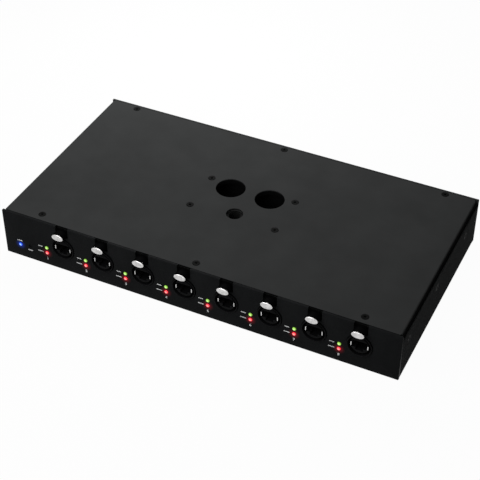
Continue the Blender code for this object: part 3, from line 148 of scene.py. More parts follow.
class LightSizes(bpy.types.PropertyGroup):
    """Sizes of the lights and the reset button."""
    lens: length("Lens", "Radius of a light's lens", 0.0015)
    proud: length("Lens stands out", "How far a lens stands out of the panel", 0.0006)
    button: length("Button", "Radius of the reset button", 0.0013)


class ScrewSizes(bpy.types.PropertyGroup):
    """Sizes of the flush screws."""
    head: length("Head", "Radius of a flush head", 0.0031)
    shank: length("Shank", "Radius of the thread", 0.0015)
    key: length("Key", "Radius of the socket for the key, at its corners", 0.00105)


class Finishes(bpy.types.PropertyGroup):
    """Colours of the finishes, and the lamps' level."""
    case: colour("Case", "Powder coat of the case", (0.0360, 0.0370, 0.0370))
    panel: colour("Panel", "Lacquer of the front panel", (0.0122, 0.0128, 0.0133))
    plastic: colour("Plastic", "Black moulded plastic", (0.005, 0.005, 0.0055))
    tab: colour("Tab", "Nickel of the latch tabs", (0.59, 0.585, 0.58))
    link: colour("Link light", "Rim colour of the upper lights", (0.17, 0.38, 0.03))
    power: colour("Power light", "Rim colour of the lower lights", (0.85, 0.02, 0.04))
    ready: colour("Ready light", "Rim colour of the light at the left", (0.01, 0.06, 0.70))
    lamp: FloatProperty(name="Lamps", description="Strength of the studio lamps", default=1.0)


class SwitchSettings(bpy.types.PropertyGroup):
    """Every setting of the switch."""
    case: PointerProperty(type=CaseSizes)
    socket: PointerProperty(type=SocketSizes)
    latch: PointerProperty(type=LatchSizes)
    light: PointerProperty(type=LightSizes)
    screw: PointerProperty(type=ScrewSizes)
    finish: PointerProperty(type=Finishes)


# Surfaces worked out with numpy. A shell is a pair: points, and faces that hold point numbers.


def joined(shells):
    """Several shells as one: their points in a row, and their faces renumbered to match."""
    points, faces, start = [], [], 0
    for shell_points, shell_faces in shells:
        points.append(shell_points)
        faces.extend((np.asarray(face) + start).tolist() for face in shell_faces)
        start += len(shell_points)
    return np.concatenate(points), faces


def grid(points, close_rows=False, close_columns=False):
    """Quads over a grid of points: each point is joined to the next in its row and column."""
    rows, columns = points.shape[:2]
    index = np.arange(rows * columns).reshape(rows, columns)
    if close_rows:
        index = np.vstack([index, index[:1]])
    if close_columns:
        index = np.hstack([index, index[:, :1]])
    quads = np.stack([index[:-1, :-1], index[1:, :-1], index[1:, 1:], index[:-1, 1:]], -1)
    return points.reshape(-1, 3), quads.reshape(-1, 4)


def full_turn(steps):
    """Angles spread evenly over a full turn, without its end."""
    return np.linspace(0, math.tau, steps, endpoint=False)


def quarter_turn(steps):
    """Angles spread evenly from 0 to a quarter turn."""
    return np.linspace(0, math.pi / 2, steps)


def turned(profile, centre=(0, 0, 0), axis="Y", steps=48, wide=1.0):
    """A profile of (radius, along) points spun about an axis: radius times cosine and sine
    across, and the second number along it. wide stretches it across into an oval."""
    profile = np.asarray(profile, float)
    angle = full_turn(steps)
    radius, along = profile[:, :1], profile[:, 1:]
    a, b = radius * np.cos(angle) * wide, radius * np.sin(angle)
    c = np.broadcast_to(along, a.shape)
    order = {"X": (c, a, b), "Y": (a, c, b), "Z": (a, b, c)}[axis]
    return grid(np.stack(order, -1) + np.asarray(centre, float), close_columns=True)


def tube(path, radius, sides=10, up=(0, 0, 1)):
    """A round tube along a path: at each point a circle in the plane across the tangent."""
    path = np.asarray(path, float)
    tangent = np.gradient(path, axis=0)
    tangent /= np.linalg.norm(tangent, axis=1, keepdims=True)
    across = np.cross(tangent, up)
    across /= np.linalg.norm(across, axis=1, keepdims=True)
    over = np.cross(across, tangent)
    angle = full_turn(sides)[None, :, None]
    turned_across = across[:, None] * np.cos(angle) + over[:, None] * np.sin(angle)
    points, quads = grid(path[:, None] + radius * turned_across, close_columns=True)
    count = len(points)
    return points, [*quads, np.arange(sides), np.arange(count - sides, count)]


def facing(direction, at=0.0):
    """How a flat shape's (u, v, depth) becomes (x, y, z) when its front faces a direction."""
    return {
        "front": lambda u, v, d: (u, at + d, v),
        "back": lambda u, v, d: (u, at - d, v),
        "top": lambda u, v, d: (u, v, at - d),
        "right": lambda u, v, d: (at - d, u, v),
        "left": lambda u, v, d: (at + d, u, v),
    }[direction]


def round_loop(u, v, radius, steps=48, wide=1.0):
    """A circle or an oval, by the cosine and sine of each angle. Its function takes how much
    larger it is drawn."""
    angle = full_turn(steps)

    def loop(grow):
        return np.stack([u + (radius * wide + grow) * np.cos(angle),
                         v + (radius + grow) * np.sin(angle)], -1)
    return loop


def corner_loop(low_u, low_v, high_u, high_v, corner=0.0, steps=5):
    """A rectangle with round corners: a quarter circle about each corner's centre."""
    angle = quarter_turn(steps) if corner else np.array([math.pi / 4])
    turns = np.concatenate([angle + math.pi / 2 * turn for turn in range(4)])
    side_u = np.repeat([1, -1, -1, 1], len(angle))
    side_v = np.repeat([1, 1, -1, -1], len(angle))
    mid = np.array([(low_u + high_u) / 2, (low_v + high_v) / 2])
    half = np.array([(high_u - low_u) / 2, (high_v - low_v) / 2]) - corner

    def loop(grow):
        radius = (corner + grow) if corner else 0
        reach = half if corner else half + grow
        return mid + np.stack([side_u * reach[0] + radius * np.cos(turns),
                               side_v * reach[1] + radius * np.sin(turns)], -1)
    return loop


def centred_loop(u, v, half_u, half_v, corner, steps):
    """A rectangle with round corners about its middle."""
    return corner_loop(u - half_u, v - half_v, u + half_u, v + half_v, corner, steps)


def face_loop(low, high, corner, steps, room=0.0):
    """A box's outline as seen from in front of it, with round corners and some room."""
    return corner_loop(low.x - room, low.z - room, high.x + room, high.z + room, corner, steps)


def point_loop(points):
    """A loop through given points, which grows away from their middle along each axis."""
    points = np.asarray(points, float)
    mid = (points.min(0) + points.max(0)) / 2

    def loop(grow):
        return points + np.sign(np.round(points - mid, 6)) * grow
    return loop


def soft_stack(thickness, radius, steps=4):
    """The (cut back, depth) steps of a plate whose two edges are quarter circles."""
    turn = quarter_turn(steps)
    cut, depth = radius * (1 - np.sin(turn)), radius * (1 - np.cos(turn))
    front = list(zip(cut, depth))
    return front + [(c, thickness - d) for c, d in reversed(front)]


def edge_stack(thickness, edge):
    """The (cut back, depth) steps of a plate with a small chamfer on both edges."""
    return [(edge, 0), (0, edge), (0, thickness - edge), (edge, thickness)]


def cap(loops, depth, creases=()):
    """Triangles that fill the first loop, less the others. A crease is a line at one u that
    joins the outline's points there, so that the sheet can be folded along it."""
    outline = loops[0]
    points = np.concatenate(loops)
    edges, start = [], 0
    for loop in loops:
        number = np.arange(len(loop))
        edges += (np.stack([number, np.roll(number, -1)], -1) + start).tolist()
        start += len(loop)
    for u in creases:
        found = np.flatnonzero(np.abs(outline[:, 0] - u) < 1e-7)
        found = found[np.argsort(outline[found, 1])]
        edges.append([int(found[0]), int(found[-1])])
    in_mm = [Vector(p) for p in points * 1000]
    flat, _, triangles, *_ = delaunay_2d_cdt(in_mm, edges, [], 0, 1e-6)
    flat = np.array([tuple(p) for p in flat]) / 1000
    triangles = np.array(triangles)
    centre = flat[triangles].mean(1)
    keep = inside(centre, outline)
    for loop in loops[1:]:
        keep &= ~inside(centre, loop)
    return np.column_stack([flat, np.full(len(flat), depth)]), triangles[keep]


def inside(points, loop):
    """Whether each point lies in a loop: a ray from it crosses the loop's edges an odd time."""
    a, b = loop, np.roll(loop, -1, axis=0)
    x, y = points[:, :1], points[:, 1:]
    spans = (a[:, 1] > y) != (b[:, 1] > y)
    rise = np.where(b[:, 1] == a[:, 1], 1, b[:, 1] - a[:, 1])
    crossing = a[:, 0] + (y - a[:, 1]) / rise * (b[:, 0] - a[:, 0])
    return (spans & (x < crossing)).sum(1) % 2 == 1


def slab(outline, stack, place, holes=(), creases=()):
    """A plate between two flat faces. The outline shrinks by each step's cut at its depth, and
    each hole, a (loop, stack) pair, grows by its own. A hole that ends short has a floor."""
    thickness = stack[-1][1]
    shells, front, back = [], [outline(-stack[0][0])], [outline(-stack[-1][0])]
    for loop, steps, sign in [(outline, stack, -1)] + [(h, s, 1) for h, s in holes]:
        rings = np.stack([np.column_stack([loop(sign * cut), np.full(len(loop(0)), depth)])
                          for cut, depth in steps])
        shells.append(grid(rings, close_columns=True))
        if sign > 0:
            front.append(rings[0, :, :2])
            if steps[-1][1] < thickness - 1e-7:
                shells.append(cap([rings[-1, :, :2]], steps[-1][1]))
            else:
                back.append(rings[-1, :, :2])
    shells += [cap(front, 0.0, creases), cap(back, thickness, creases)]
    points, faces = joined(shells)
    return np.stack(np.broadcast_arrays(*place(*points.T)), -1), faces


def block(low, high, edge=0.0003, direction="top", steps=3):
    """A box whose edges are quarter circles."""
    low, high = np.minimum(low, high), np.maximum(low, high)
    u, v, w = {"top": (0, 1, 2), "front": (0, 2, 1), "right": (1, 2, 0)}[direction]
    at = low[w] if direction == "front" else high[w]
    return slab(corner_loop(low[u], low[v], high[u], high[v], edge, steps + 1),
                soft_stack(high[w] - low[w], edge, steps), facing(direction, at))


def added(name, data):
    """A new object of the scene."""
    thing = bpy.data.objects.new(name, data)
    bpy.context.scene.collection.objects.link(thing)
    return thing


def points_of(mesh):
    """A mesh's points as rows of x, y and z."""
    points = np.empty(len(mesh.vertices) * 3)
    mesh.vertices.foreach_get("co", points)
    return points.reshape(-1, 3)


def piece(name, shells, finish, body="case", replaces=(), slot=None, angle=32.0):
    """Make a piece of the object from shells: doubled points merged and faces turned outwards.
    A slot, given or that of its finish, is looked up but not used."""
    points, faces = joined(shells)
    mesh = bpy.data.meshes.new(name)
    mesh.from_pydata(points, [], faces)
    work = bmesh.new()
    work.from_mesh(mesh)
    bmesh.ops.remove_doubles(work, verts=work.verts, dist=2e-7)
    bmesh.ops.dissolve_degenerate(work, edges=work.edges, dist=1e-8)
    bmesh.ops.recalc_face_normals(work, faces=work.faces)
    work.to_mesh(mesh)
    work.free()
    mesh.materials.append(MATERIALS[finish])
    mesh.shade_smooth()
    mesh.set_sharp_from_angle(angle=math.radians(angle))
    thing = added(name, mesh)
    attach(thing, body)
    if replaces:
        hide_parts(*replaces)
    slot = slot or SLOTS.get(finish)
    return thing


# Materials


def scaled(base, share):
    """A colour times a share."""
    return tuple(c * share for c in base)


class Wire:
    """A shader value that works in Python sums, which add the Math nodes for them."""

    def __init__(self, tree, socket=None):
        self.tree = tree
        self.socket = socket

    def node(self, kind, settings=(), inputs=(), out=0):
        """Add a node of a kind, set its settings, and then set or link its inputs."""
        made = self.tree.nodes.new(kind)
        for name, value in dict(settings).items():
            setattr(made, name, value)
        for name, value in dict(inputs).items():
            if isinstance(value, Wire):
                self.tree.links.new(value.socket, made.inputs[name])
            else:
                made.inputs[name].default_value = value
        return Wire(self.tree, made.outputs[out])

    def maths(self, operation, *values):
        """A Math node over some values."""
        return self.node("ShaderNodeMath", {"operation": operation}, dict(enumerate(values)))

    def __add__(self, other):
        return self.maths("ADD", self, other)

    def __sub__(self, other):
        return self.maths("SUBTRACT", self, other)

    def __rsub__(self, other):
        return self.maths("SUBTRACT", other, self)

    def __mul__(self, other):
        return self.maths("MULTIPLY", self, other)

    def __truediv__(self, other):
        return self.maths("DIVIDE", self, other)

    def __rtruediv__(self, other):
        return self.maths("DIVIDE", other, self)

    __radd__ = __add__
    __rmul__ = __mul__

    def within(self, low, high):
        """How far this value has come from low to high, held between 0 and 1."""
        return self.node("ShaderNodeMapRange", {"clamp": True},
                         {"Value": self, "From Min": low, "From Max": high})

    def mixed(self, first, second):
        """A colour between two others, with this value as the share of the second."""
        return self.node("ShaderNodeMix", {"data_type": "RGBA"},
                         {0: self, 6: first, 7: second}, out=2)


class Finish:
    """One material: its Principled shader, and the textures that feed it."""

    def __init__(self, name, base, roughness, metallic=0.0, **fixed):
        self.material = bpy.data.materials.new(name)
        self.material.use_nodes = True
        self.tree = self.material.node_tree
        self.shader = self.tree.nodes["Principled BSDF"]
        self.wire = Wire(self.tree)
        self.set("Base Color", (*base, 1.0))
        self.set("Roughness", roughness)
        self.set("Metallic", metallic)
        for key, value in fixed.items():
            self.set(key.replace("_", " "), value)
        self.material.diffuse_color = (*base, 1.0)
        self.place = self.wire.node("ShaderNodeTexCoord", out="Object")

    def set(self, name, value):
        """Set or link one of the shader's inputs."""
        target = self.shader.inputs[name]
        if isinstance(value, Wire):
            self.tree.links.new(value.socket, target)
        else:
            target.default_value = value

    def noise(self, size, detail=3.0, stretch=(1, 1, 1), roughness=0.55):
        """Cloudy noise whose blobs are about size metres, longer along a stretched axis."""
        scale = tuple(1 / (size * s) for s in stretch)
        placed = self.wire.node("ShaderNodeMapping", {}, {"Vector": self.place, "Scale": scale})
        return self.wire.node("ShaderNodeTexNoise", {}, {
            "Vector": placed, "Scale": 1.0, "Detail": detail, "Roughness": roughness})

    def cells(self, size):
        """Distance to the nearest of scattered points about size metres apart."""
        return self.wire.node("ShaderNodeTexVoronoi", {},
                              {"Vector": self.place, "Scale": 1 / size})

    def bump(self, height, depth):
        """Raise the surface by a height from 0 to 1 times depth metres."""
        self.set("Normal", self.wire.node("ShaderNodeBump", {}, {
            "Height": height, "Distance": depth, "Strength": 1.0}))

    def vary(self, amount, base, spread):
        """Lighten and darken the base colour by a share of it, as amount goes from 0 to 1."""
        high = tuple(min(1.0, c) for c in scaled(base, 1 + spread))
        shade = amount.mixed((*scaled(base, 1 - spread), 1.0), (*high, 1.0))
        self.set("Base Color", shade)
        return shade

    def axes(self):
        """The x, y and z of the object's own coordinates."""
        split = self.wire.node("ShaderNodeSeparateXYZ", {}, {"Vector": self.place})
        return [Wire(self.tree, out) for out in split.socket.node.outputs]


def powder_coat(name, base, lit=None):
    """Fine-grained matt powder coat: a dense pebbled skin with faint clouds in its shade. A rule
    on a point's x, y and z can keep that shade to some places and paint shade on the rest, nearly
    black."""
    made = Finish(name, base, 0.5, Specular_IOR_Level=0.0003)
    clouds = made.noise(0.03, 2.0)
    grain = made.noise(0.00035, 2.0)
    shade = made.vary(clouds.within(0.3, 0.7) * 0.7 + grain.within(0.35, 0.65) * 0.3, base, 0.10)
    if lit:
        # Painted shade: where the rule gives 0, the coat is nearly black
        painted_shade = (*scaled(base, PAINTED_SHADE_SHARE), 1.0)
        made.set("Base Color", lit(*made.axes()).mixed(painted_shade, shade))
    made.set("Roughness", clouds * 0.08 + grain * 0.16 + 0.40)
    made.bump(grain + made.noise(0.0011, 1.0) * 0.5, 0.000018)
    return made.material


def gloss_lacquer(name, base, painted_glow):
    """Smooth lacquer with the slow waves of a sprayed coat, and faint handling marks. Round the
    lights it has a painted glow in their colours, which falls with distance."""
    made = Finish(name, base, 0.16, Specular_IOR_Level=0.005, Emission_Strength=1.0)
    x, _, z = made.axes()
    # Painted glow: an emission colour round each light, falling with distance, stands in for its
    # spill
    first, last = PORT_XS[1] + LIGHT_OFFSET, PORT_XS[8] + LIGHT_OFFSET
    pitch = (last - first) / (len(PORTS) - 1)
    across = (x.maths("FRACT", (x - first) / pitch + 0.5) - 0.5) * pitch
    over = z - POWER_Z
    row = x.within(first - 0.010, first - 0.009) * (1 - x.within(last + 0.009, last + 0.010))
    shade = (0, 0, 0, 1)
    beside = x - middle("power_light").x
    for side, mask, glow_colour in ((across, row, painted_glow[0]), (beside, 1, painted_glow[1])):
        near = 1 - x.maths("SQRT", side * side + over * over).within(0.0010, 0.0056)
        shade = (near * near * mask).mixed(shade, (*glow_colour, 1.0))
    made.set("Emission Color", shade)
    smears = made.noise(0.02, 4.0, (1, 1, 2.5))
    made.vary(smears.within(0.35, 0.7), base, 0.12)
    made.set("Roughness", smears.within(0.35, 0.75) * 0.08 + 0.14)
    made.bump(made.noise(0.004, 1.0) + made.noise(0.0004, 1.0) * 0.08, 0.000006)
    return made.material


def moulded(name, base, roughness=0.36, level=0.12):
    """Moulded plastic with a fine spark-eroded grain."""
    made = Finish(name, base, roughness, Specular_IOR_Level=level)
    grain = made.noise(0.0002, 2.0)
    made.vary(made.noise(0.006, 2.0).within(0.3, 0.7), base, 0.15)
    made.set("Roughness", grain * 0.14 + (roughness - 0.07))
    made.bump(grain, 0.000008)
    return made.material


def plated(name, base, roughness, grain=(1, 1, 1), spread=0.06, depth=0.000003):
    """Plated or milled metal: fine scratches along one way, and cloudy tarnish."""
    made = Finish(name, base, roughness, 1.0)
    scratches = made.noise(0.00012, 3.0, grain)
    made.vary(made.noise(0.002, 4.0).within(0.3, 0.7), base, spread)
    made.set("Roughness", scratches * 0.14 + (roughness - 0.07))
    made.bump(scratches, depth)
    return made.material


def lens_glow(name, base, hot, strength):
    """A lit lens: a pale hot middle and a deep rim, read from the lens's own glow attribute."""
    made = Finish(name, base, 0.16, Specular_IOR_Level=0.4, Emission_Strength=strength)
    glow = made.wire.node("ShaderNodeAttribute", {"attribute_name": "glow"}, out="Fac")
    made.set("Emission Color", glow.within(0.1, 0.75).mixed((*base, 1.0), (*hot, 1.0)))
    made.bump(made.noise(0.0003, 2.0), 0.000004)
    return made.material


def circuit_board(name, base):
    """Green solder mask over copper: traces along both axes, and tinned pads on a grid. What
    stands above the board's top is black, as its small parts are."""
    made = Finish(name, base, 0.35)
    x, y, z = made.axes()
    lanes = made.noise(0.012, 1.0)
    along_x = y.maths("FRACT", y * 700 + lanes * 6).within(0.55, 0.6)
    along_y = x.maths("FRACT", x * 500 + lanes * 5).within(0.6, 0.65)
    pick = made.noise(0.02, 0.0).within(0.49, 0.51)
    traces = along_x * pick + along_y * (1 - pick)
    pads = 1 - made.cells(0.0031).within(0.14, 0.17)
    masked = traces.mixed((*base, 1.0), (*scaled(base, 1.7), 1.0))
    board = pads.mixed(masked, (0.62, 0.60, 0.55, 1.0))
    parts = z.within(0.0097, 0.0098)
    made.set("Base Color", parts.mixed(board, (0.012, 0.012, 0.013, 1.0)))
    made.set("Metallic", pads * (1 - parts))
    made.set("Roughness", made.noise(0.001, 2.0) * 0.2 + 0.22)
    made.bump(traces * 0.5 + pads, 0.00004)
    return made.material


def insulation(name, base, second=None):
    """Smooth wire insulation, with a second colour in a spiral stripe if asked."""
    made = Finish(name, base, 0.42)
    cloud = made.noise(0.002, 2.0)
    made.vary(cloud.within(0.3, 0.7), base, 0.1)
    if second:
        x, _, z = made.axes()
        turns = x.maths("FRACT", x * 260 + z * 330)
        made.set("Base Color", turns.within(0.48, 0.52).mixed((*base, 1.0), (*second, 1.0)))
    made.bump(cloud, 0.00001)
    return made.material


def past_front(y, low):
    """0 on a sheet's cut front edge, which gets painted shade, and 1 behind it."""
    return y.within(low.y + 0.0001, low.y + 0.0003)


def in_clamp_hole(x, y, z):
    """1 on the wall of the clamp hole, and 0 farther from its middle, where the plate gets painted
    shade.
    """
    clamp = middle("clamp_nut")
    across, along = x - clamp.x, y - clamp.y
    away = x.maths("SQRT", across * across + along * along)
    return 1 - away.within(0.0075, 0.0080)


def make_materials(finish):
    """Every material of the switch, by the plain name of its finish."""
    case, panel, plastic = tuple(finish.case), tuple(finish.panel), tuple(finish.plastic)
    return {
        "coat": powder_coat("black_powder_coat", case),
        # Painted shade: the lid's coat is nearly black on its side flanges and its cut front edge
        "lid_painted_shade_coat": powder_coat("lid_painted_shade_powder_coat", case, lambda x, y, z: z.within(
            LID_HIGH.z - 0.0012, LID_HIGH.z - 0.0003) * past_front(y, LID_LOW)),
        # Painted shade: the tray's coat is nearly black on its cut front lip
        "tray_painted_shade_coat": powder_coat("tray_painted_shade_powder_coat", case,
                                 lambda x, y, z: past_front(y, BASE_LOW)),
        # Painted shade: the load plate's coat is nearly black everywhere but the clamp hole's wall
        "plate_painted_shade_coat": powder_coat("plate_painted_shade_powder_coat", case, in_clamp_hole),
        # Painted shade: the cable channel's coat is nearly black all over
        "inner_painted_shade_coat": powder_coat("inner_painted_shade_powder_coat", scaled(case, PAINTED_SHADE_SHARE)),
        # Painted glow of the red and the blue lights on the lacquer round them
        "lacquer": gloss_lacquer("black_lacquer_painted_glow", panel,
                                ((0.15, 0.006, 0.012), (0.01, 0.03, 0.25))),
        "plastic": moulded("black_plastic", plastic, level=0.02),
        # Painted shade: black plastic at 0.35 of its colour, for the knobs and blocks that sit in
        # shadow
        "shade_painted_plastic": moulded("black_shade_painted_plastic", scaled(plastic, 0.35), 0.5, 0.002),
        "grey": moulded("grey_plastic", (0.12, 0.12, 0.12), 0.5),
        "nickel": plated("satin_nickel", tuple(finish.tab), 0.44, spread=0.2),
        "steel": plated("plain_steel", (0.46, 0.46, 0.47), 0.32, (1, 6, 1)),
        "spring": plated("spring_steel", (0.60, 0.60, 0.60), 0.25),
        "strip": plated("tinned_strip", (0.60, 0.60, 0.59), 0.28),
        "gold": plated("contact_gold", (0.95, 0.66, 0.28), 0.2),
        "black_screw": moulded("black_zinc", (0.0068, 0.007, 0.0068), 0.4, 0.004),
        "milled": plated("milled_aluminium", (0.62, 0.63, 0.64), 0.36, (8, 1, 1)),
        "board": circuit_board("green_board", (0.012, 0.10, 0.035)),
        "chip": moulded("chip_epoxy", (0.012, 0.012, 0.013), 0.55),
        "tape": moulded("yellow_tape", (0.80, 0.50, 0.05), 0.3),
        "glass": plated("fuse_tube", (0.75, 0.78, 0.78), 0.15),
        "ink": moulded("white_ink", (0.74, 0.75, 0.75), 0.5),
        "link": lens_glow("green_lens", tuple(finish.link), (0.66, 1.0, 0.36), 1.0),
        "power": lens_glow("red_lens", tuple(finish.power), (1.0, 0.42, 0.36), 1.1),
        "ready": lens_glow("blue_lens", tuple(finish.ready), (0.35, 0.65, 1.0), 1.2),
        "brown": insulation("brown_insulation", (0.12, 0.045, 0.02)),
        "blue": insulation("blue_insulation", (0.03, 0.10, 0.42)),
        "earth": insulation("earth_insulation", (0.62, 0.60, 0.03), (0.03, 0.30, 0.05)),
        "red": insulation("red_insulation", (0.42, 0.03, 0.03)),
    }


MATERIALS = {}

# The record's slot that a piece of each finish belongs to
SLOTS = {
    **dict.fromkeys(("coat", "lid_painted_shade_coat", "tray_painted_shade_coat", "plate_painted_shade_coat"), "case_paint"),
    **dict.fromkeys(("nickel", "steel", "spring", "strip"), "satin_nickel"),
    **dict.fromkeys(("plastic", "shade_painted_plastic"), "black_plastic"),
    **dict.fromkeys(("link", "power"), "clear_lens"),
    "lacquer": "panel_gloss", "black_screw": "black_screws", "ready": "blue_light",
    "glass": "fuse_glass",
}


# Pieces


def plan(nodes):
    """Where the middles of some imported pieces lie, seen from above."""
    return [tuple(middle(node).xy) for node in nodes]


def wall(depth, edge=0.0):
    """The (cut back, depth) steps of a straight wall, chamfered at its front edge if asked."""
    return [(edge, 0), (0, edge), (0, depth)] if edge else [(0, 0), (0, depth)]


def screw_hole(sizes, u, v, thickness):
    """A countersunk hole for a flush screw, as a loop and its stack of steps."""
    flare = sizes.head - sizes.shank
    return round_loop(u, v, sizes.shank + SCREW_ROOM, 32), [
        (flare + 0.0001, 0), (flare, 0.0001), (0, min(flare, thickness - 0.0002)), (0, thickness)]


def flush_screw(sizes, place, direction, long):
    """A flush screw: a coned head with a soft rim and a six-sided key socket, and a thread of
    close grooves. direction is the way that the head faces. The key socket's radius is that of
    its corners times the cosine of 30 degrees, over the cosine of the angle from the nearest
    flat's middle."""
    head, shank, key = sizes.head, sizes.shank, sizes.key
    flare, pitch, sink = head - shank, 0.00025, 0.00005
    grooves = np.arange(int((long - flare) / pitch))
    depth = flare + 0.0002 + grooves * pitch
    rib = np.stack([shank - 0.0001 * (grooves % 2), depth], -1)
    profile = np.concatenate([
        [[key * 1.12, sink], [head * 0.93, sink], [head * 0.985, 0.0001], [head, 0.0002],
         [shank, flare + 0.0001]], rib, [[0, depth[-1]]]])
    socket = np.array([[key * 1.12, sink], [key, 0.00016], [key, 0.0010], [0, 0.0013]])
    angle = full_turn(36)
    flats = np.cos(math.pi / 6) / np.cos((angle + math.pi / 6) % (math.pi / 3) - math.pi / 6)
    shells = []
    for line, six in ((profile, False), (socket, True)):
        six_sided = six & (np.arange(len(line)) > 0)[:, None]
        radius = line[:, :1] * np.where(six_sided, flats, 1.0)
        u, v = radius * np.cos(angle), radius * np.sin(angle)
        placed = facing(direction)(u, v, np.broadcast_to(line[:, 1:], u.shape))
        shells.append(grid(np.stack(placed, -1) + place, close_columns=True))
    return shells


def screw_piece(name, sizes, long, heads, replaces=()):
    """A row of like flush screws as one piece. Each head is a place and the way it faces."""
    shells = [shell for place, direction in heads
              for shell in flush_screw(sizes, place, direction, long)]
    piece(name, shells, "black_screw", replaces=replaces)


def folded(flat, bend, level, way):
    """How a flat sheet's (u, v, depth) goes: flat to the fold, round its quarter circle, and
    then straight down, or straight up where way is -1."""
    arc = bend * math.pi / 2

    def place(u, v, depth):
        run = np.clip((np.abs(u) - flat) / bend, 0, math.pi / 2)
        past = np.maximum(np.abs(u) - flat - arc, 0)
        x = np.minimum(np.abs(u), flat) + (bend - depth) * np.sin(run)
        return np.sign(u) * x, v, level + way * ((bend - depth) * np.cos(run) - past)
    return place


def fold_marks(flat, bend, steps):
    """The lines along which a sheet turns, at both sides, from left to right."""
    marks = flat + np.linspace(0, bend * math.pi / 2, steps)
    return np.concatenate([-marks[::-1], marks])


def inlet_opening():
    """The mains inlet's cut-out in the rear wall and panel."""
    half = 0.01405
    return centred_loop(middle("mains_inlet").x, INLET_Z, half, half, 0.0005, 3)


def rigging_openings(sizes, stack):
    """The two safety-cable holes and the clamp hole, with one stack of steps for all."""
    clamp, aside, behind = middle("clamp_nut"), 0.0179, 0.0161
    holes = [(round_loop(sign * aside, behind, sizes.safety_hole, 96), stack) for sign in (-1, 1)]
    return holes + [(round_loop(clamp.x, clamp.y, sizes.clamp_hole, 64), stack)]


def make_tray(settings):
    """The base: floor and side walls folded from one sheet, end walls and front lip. With it
    come the rear strip that takes the lid's screws, the standoffs, earth post and side screws."""
    sizes, screw = settings.case, settings.screw
    sheet, bend = sizes.sheet, sizes.base_bend
    half, wall_top, screw_z = BASE_HIGH.x, 0.038, 0.0285
    flat = half - bend
    past_fold = flat + bend * math.pi / 2 - bend
    side = fold_marks(flat, bend, 7)
    steps = edge_stack(sheet, 0.0001)

    def outline(grow):
        end, far = BASE_HIGH.y + grow, past_fold + wall_top + grow
        low = np.column_stack([[-far, *side, far], np.full(len(side) + 2, -end)])
        return np.concatenate([low, low[::-1] * [1, -1]])

    side_screws = [(sign, y) for sign in (-1, 1) for y in (-0.074, -0.0105, 0.060)]
    holes = [screw_hole(screw, sign * (past_fold + screw_z), y, sheet) for sign, y in side_screws]
    shells = [slab(outline, steps, folded(flat, bend, bend, -1), holes, side)]
    floor, port_half, port_top, light_half, light_top = 0.0096, 0.0128, 0.0409, 0.0029, 0.0207
    windows = [(corner_loop(x + shift - wide, floor, x + shift + wide, high, corner, 3),
                wall(sheet))
               for shift, wide, high, corner in ((0, port_half, port_top, 0.0005),
                                                 (LIGHT_OFFSET, light_half, light_top, 0.0003))
               for x in PORT_XS.values()]
    gap = 0.0002
    inner = half - sheet - gap
    for direction, y, trim, cuts in (
            ("front", BASE_LOW.y, 0, windows),
            ("back", BASE_HIGH.y, 0.0003, [(inlet_opening(), wall(sheet))])):
        end = corner_loop(-inner, sheet + gap, inner, BASE_HIGH.z - sheet - trim, 0.0005, 3)
        shells.append(slab(end, steps, facing(direction, y), cuts))
    lip, front_lip, strip = 0.1706, 0.012, 0.0085
    # The base tray's coat paints shade, nearly black, on its cut front lip
    for name, node, finish, low, high in (
            ("base_tray", "chassis_base", "tray_painted_shade_coat", BASE_LOW.y, BASE_LOW.y + front_lip),
            ("lid_strip", "rear_strip", "coat", BASE_HIGH.y - strip, BASE_HIGH.y)):
        bolt_holes = [(round_loop(x, y, screw.shank + SCREW_ROOM, 24), wall(sheet))
                      for x, y in plan(COVER_SCREWS) if low < y < high]
        shells.append(slab(corner_loop(-lip, low, lip, high, 0.0005, 3), steps,
                           facing("top", BASE_HIGH.z), bolt_holes))
        piece(name, shells, finish, replaces=[node])
        shells = []

    post = [[0, 0.002], [0.00125, 0.002], [0.00125, 0.0075], [0.0029, 0.0075], [0.0031, 0.0073],
            [0.0031, 0.0008], [0, 0.0008]]
    places = ((-0.152, -0.060), (-0.152, 0.012), (-0.043, 0.012), (0.043, 0.012), (0.156, 0.012),
              (0.156, -0.060), (0.054, 0.028), (0.162, 0.028), (0.054, 0.056), (0.162, 0.056))
    piece("board_standoffs", [turned(post, (x, y, 0), "Z", 6) for x, y in places], "steel",
          angle=20)
    stud = [[0, 0.0008], [0.002, 0.0008], [0.002, 0.0126], [0.0016, 0.013], [0, 0.013]]
    nut = [[0.002, 0.0011], [0.0038, 0.0011], [0.004, 0.0014], [0.004, 0.0039], [0.0038, 0.0042],
           [0.002, 0.0042], [0.002, 0.0011]]
    earth = (0.104, 0.074, 0)
    piece("earth_post", [turned(stud, earth, "Z", 24), turned(nut, earth, "Z", 6)], "steel",
          angle=20)
    screw_piece("side_screws", screw, 0.0055, [
        ((sign * half, y, screw_z), "right" if sign > 0 else "left") for sign, y in side_screws])


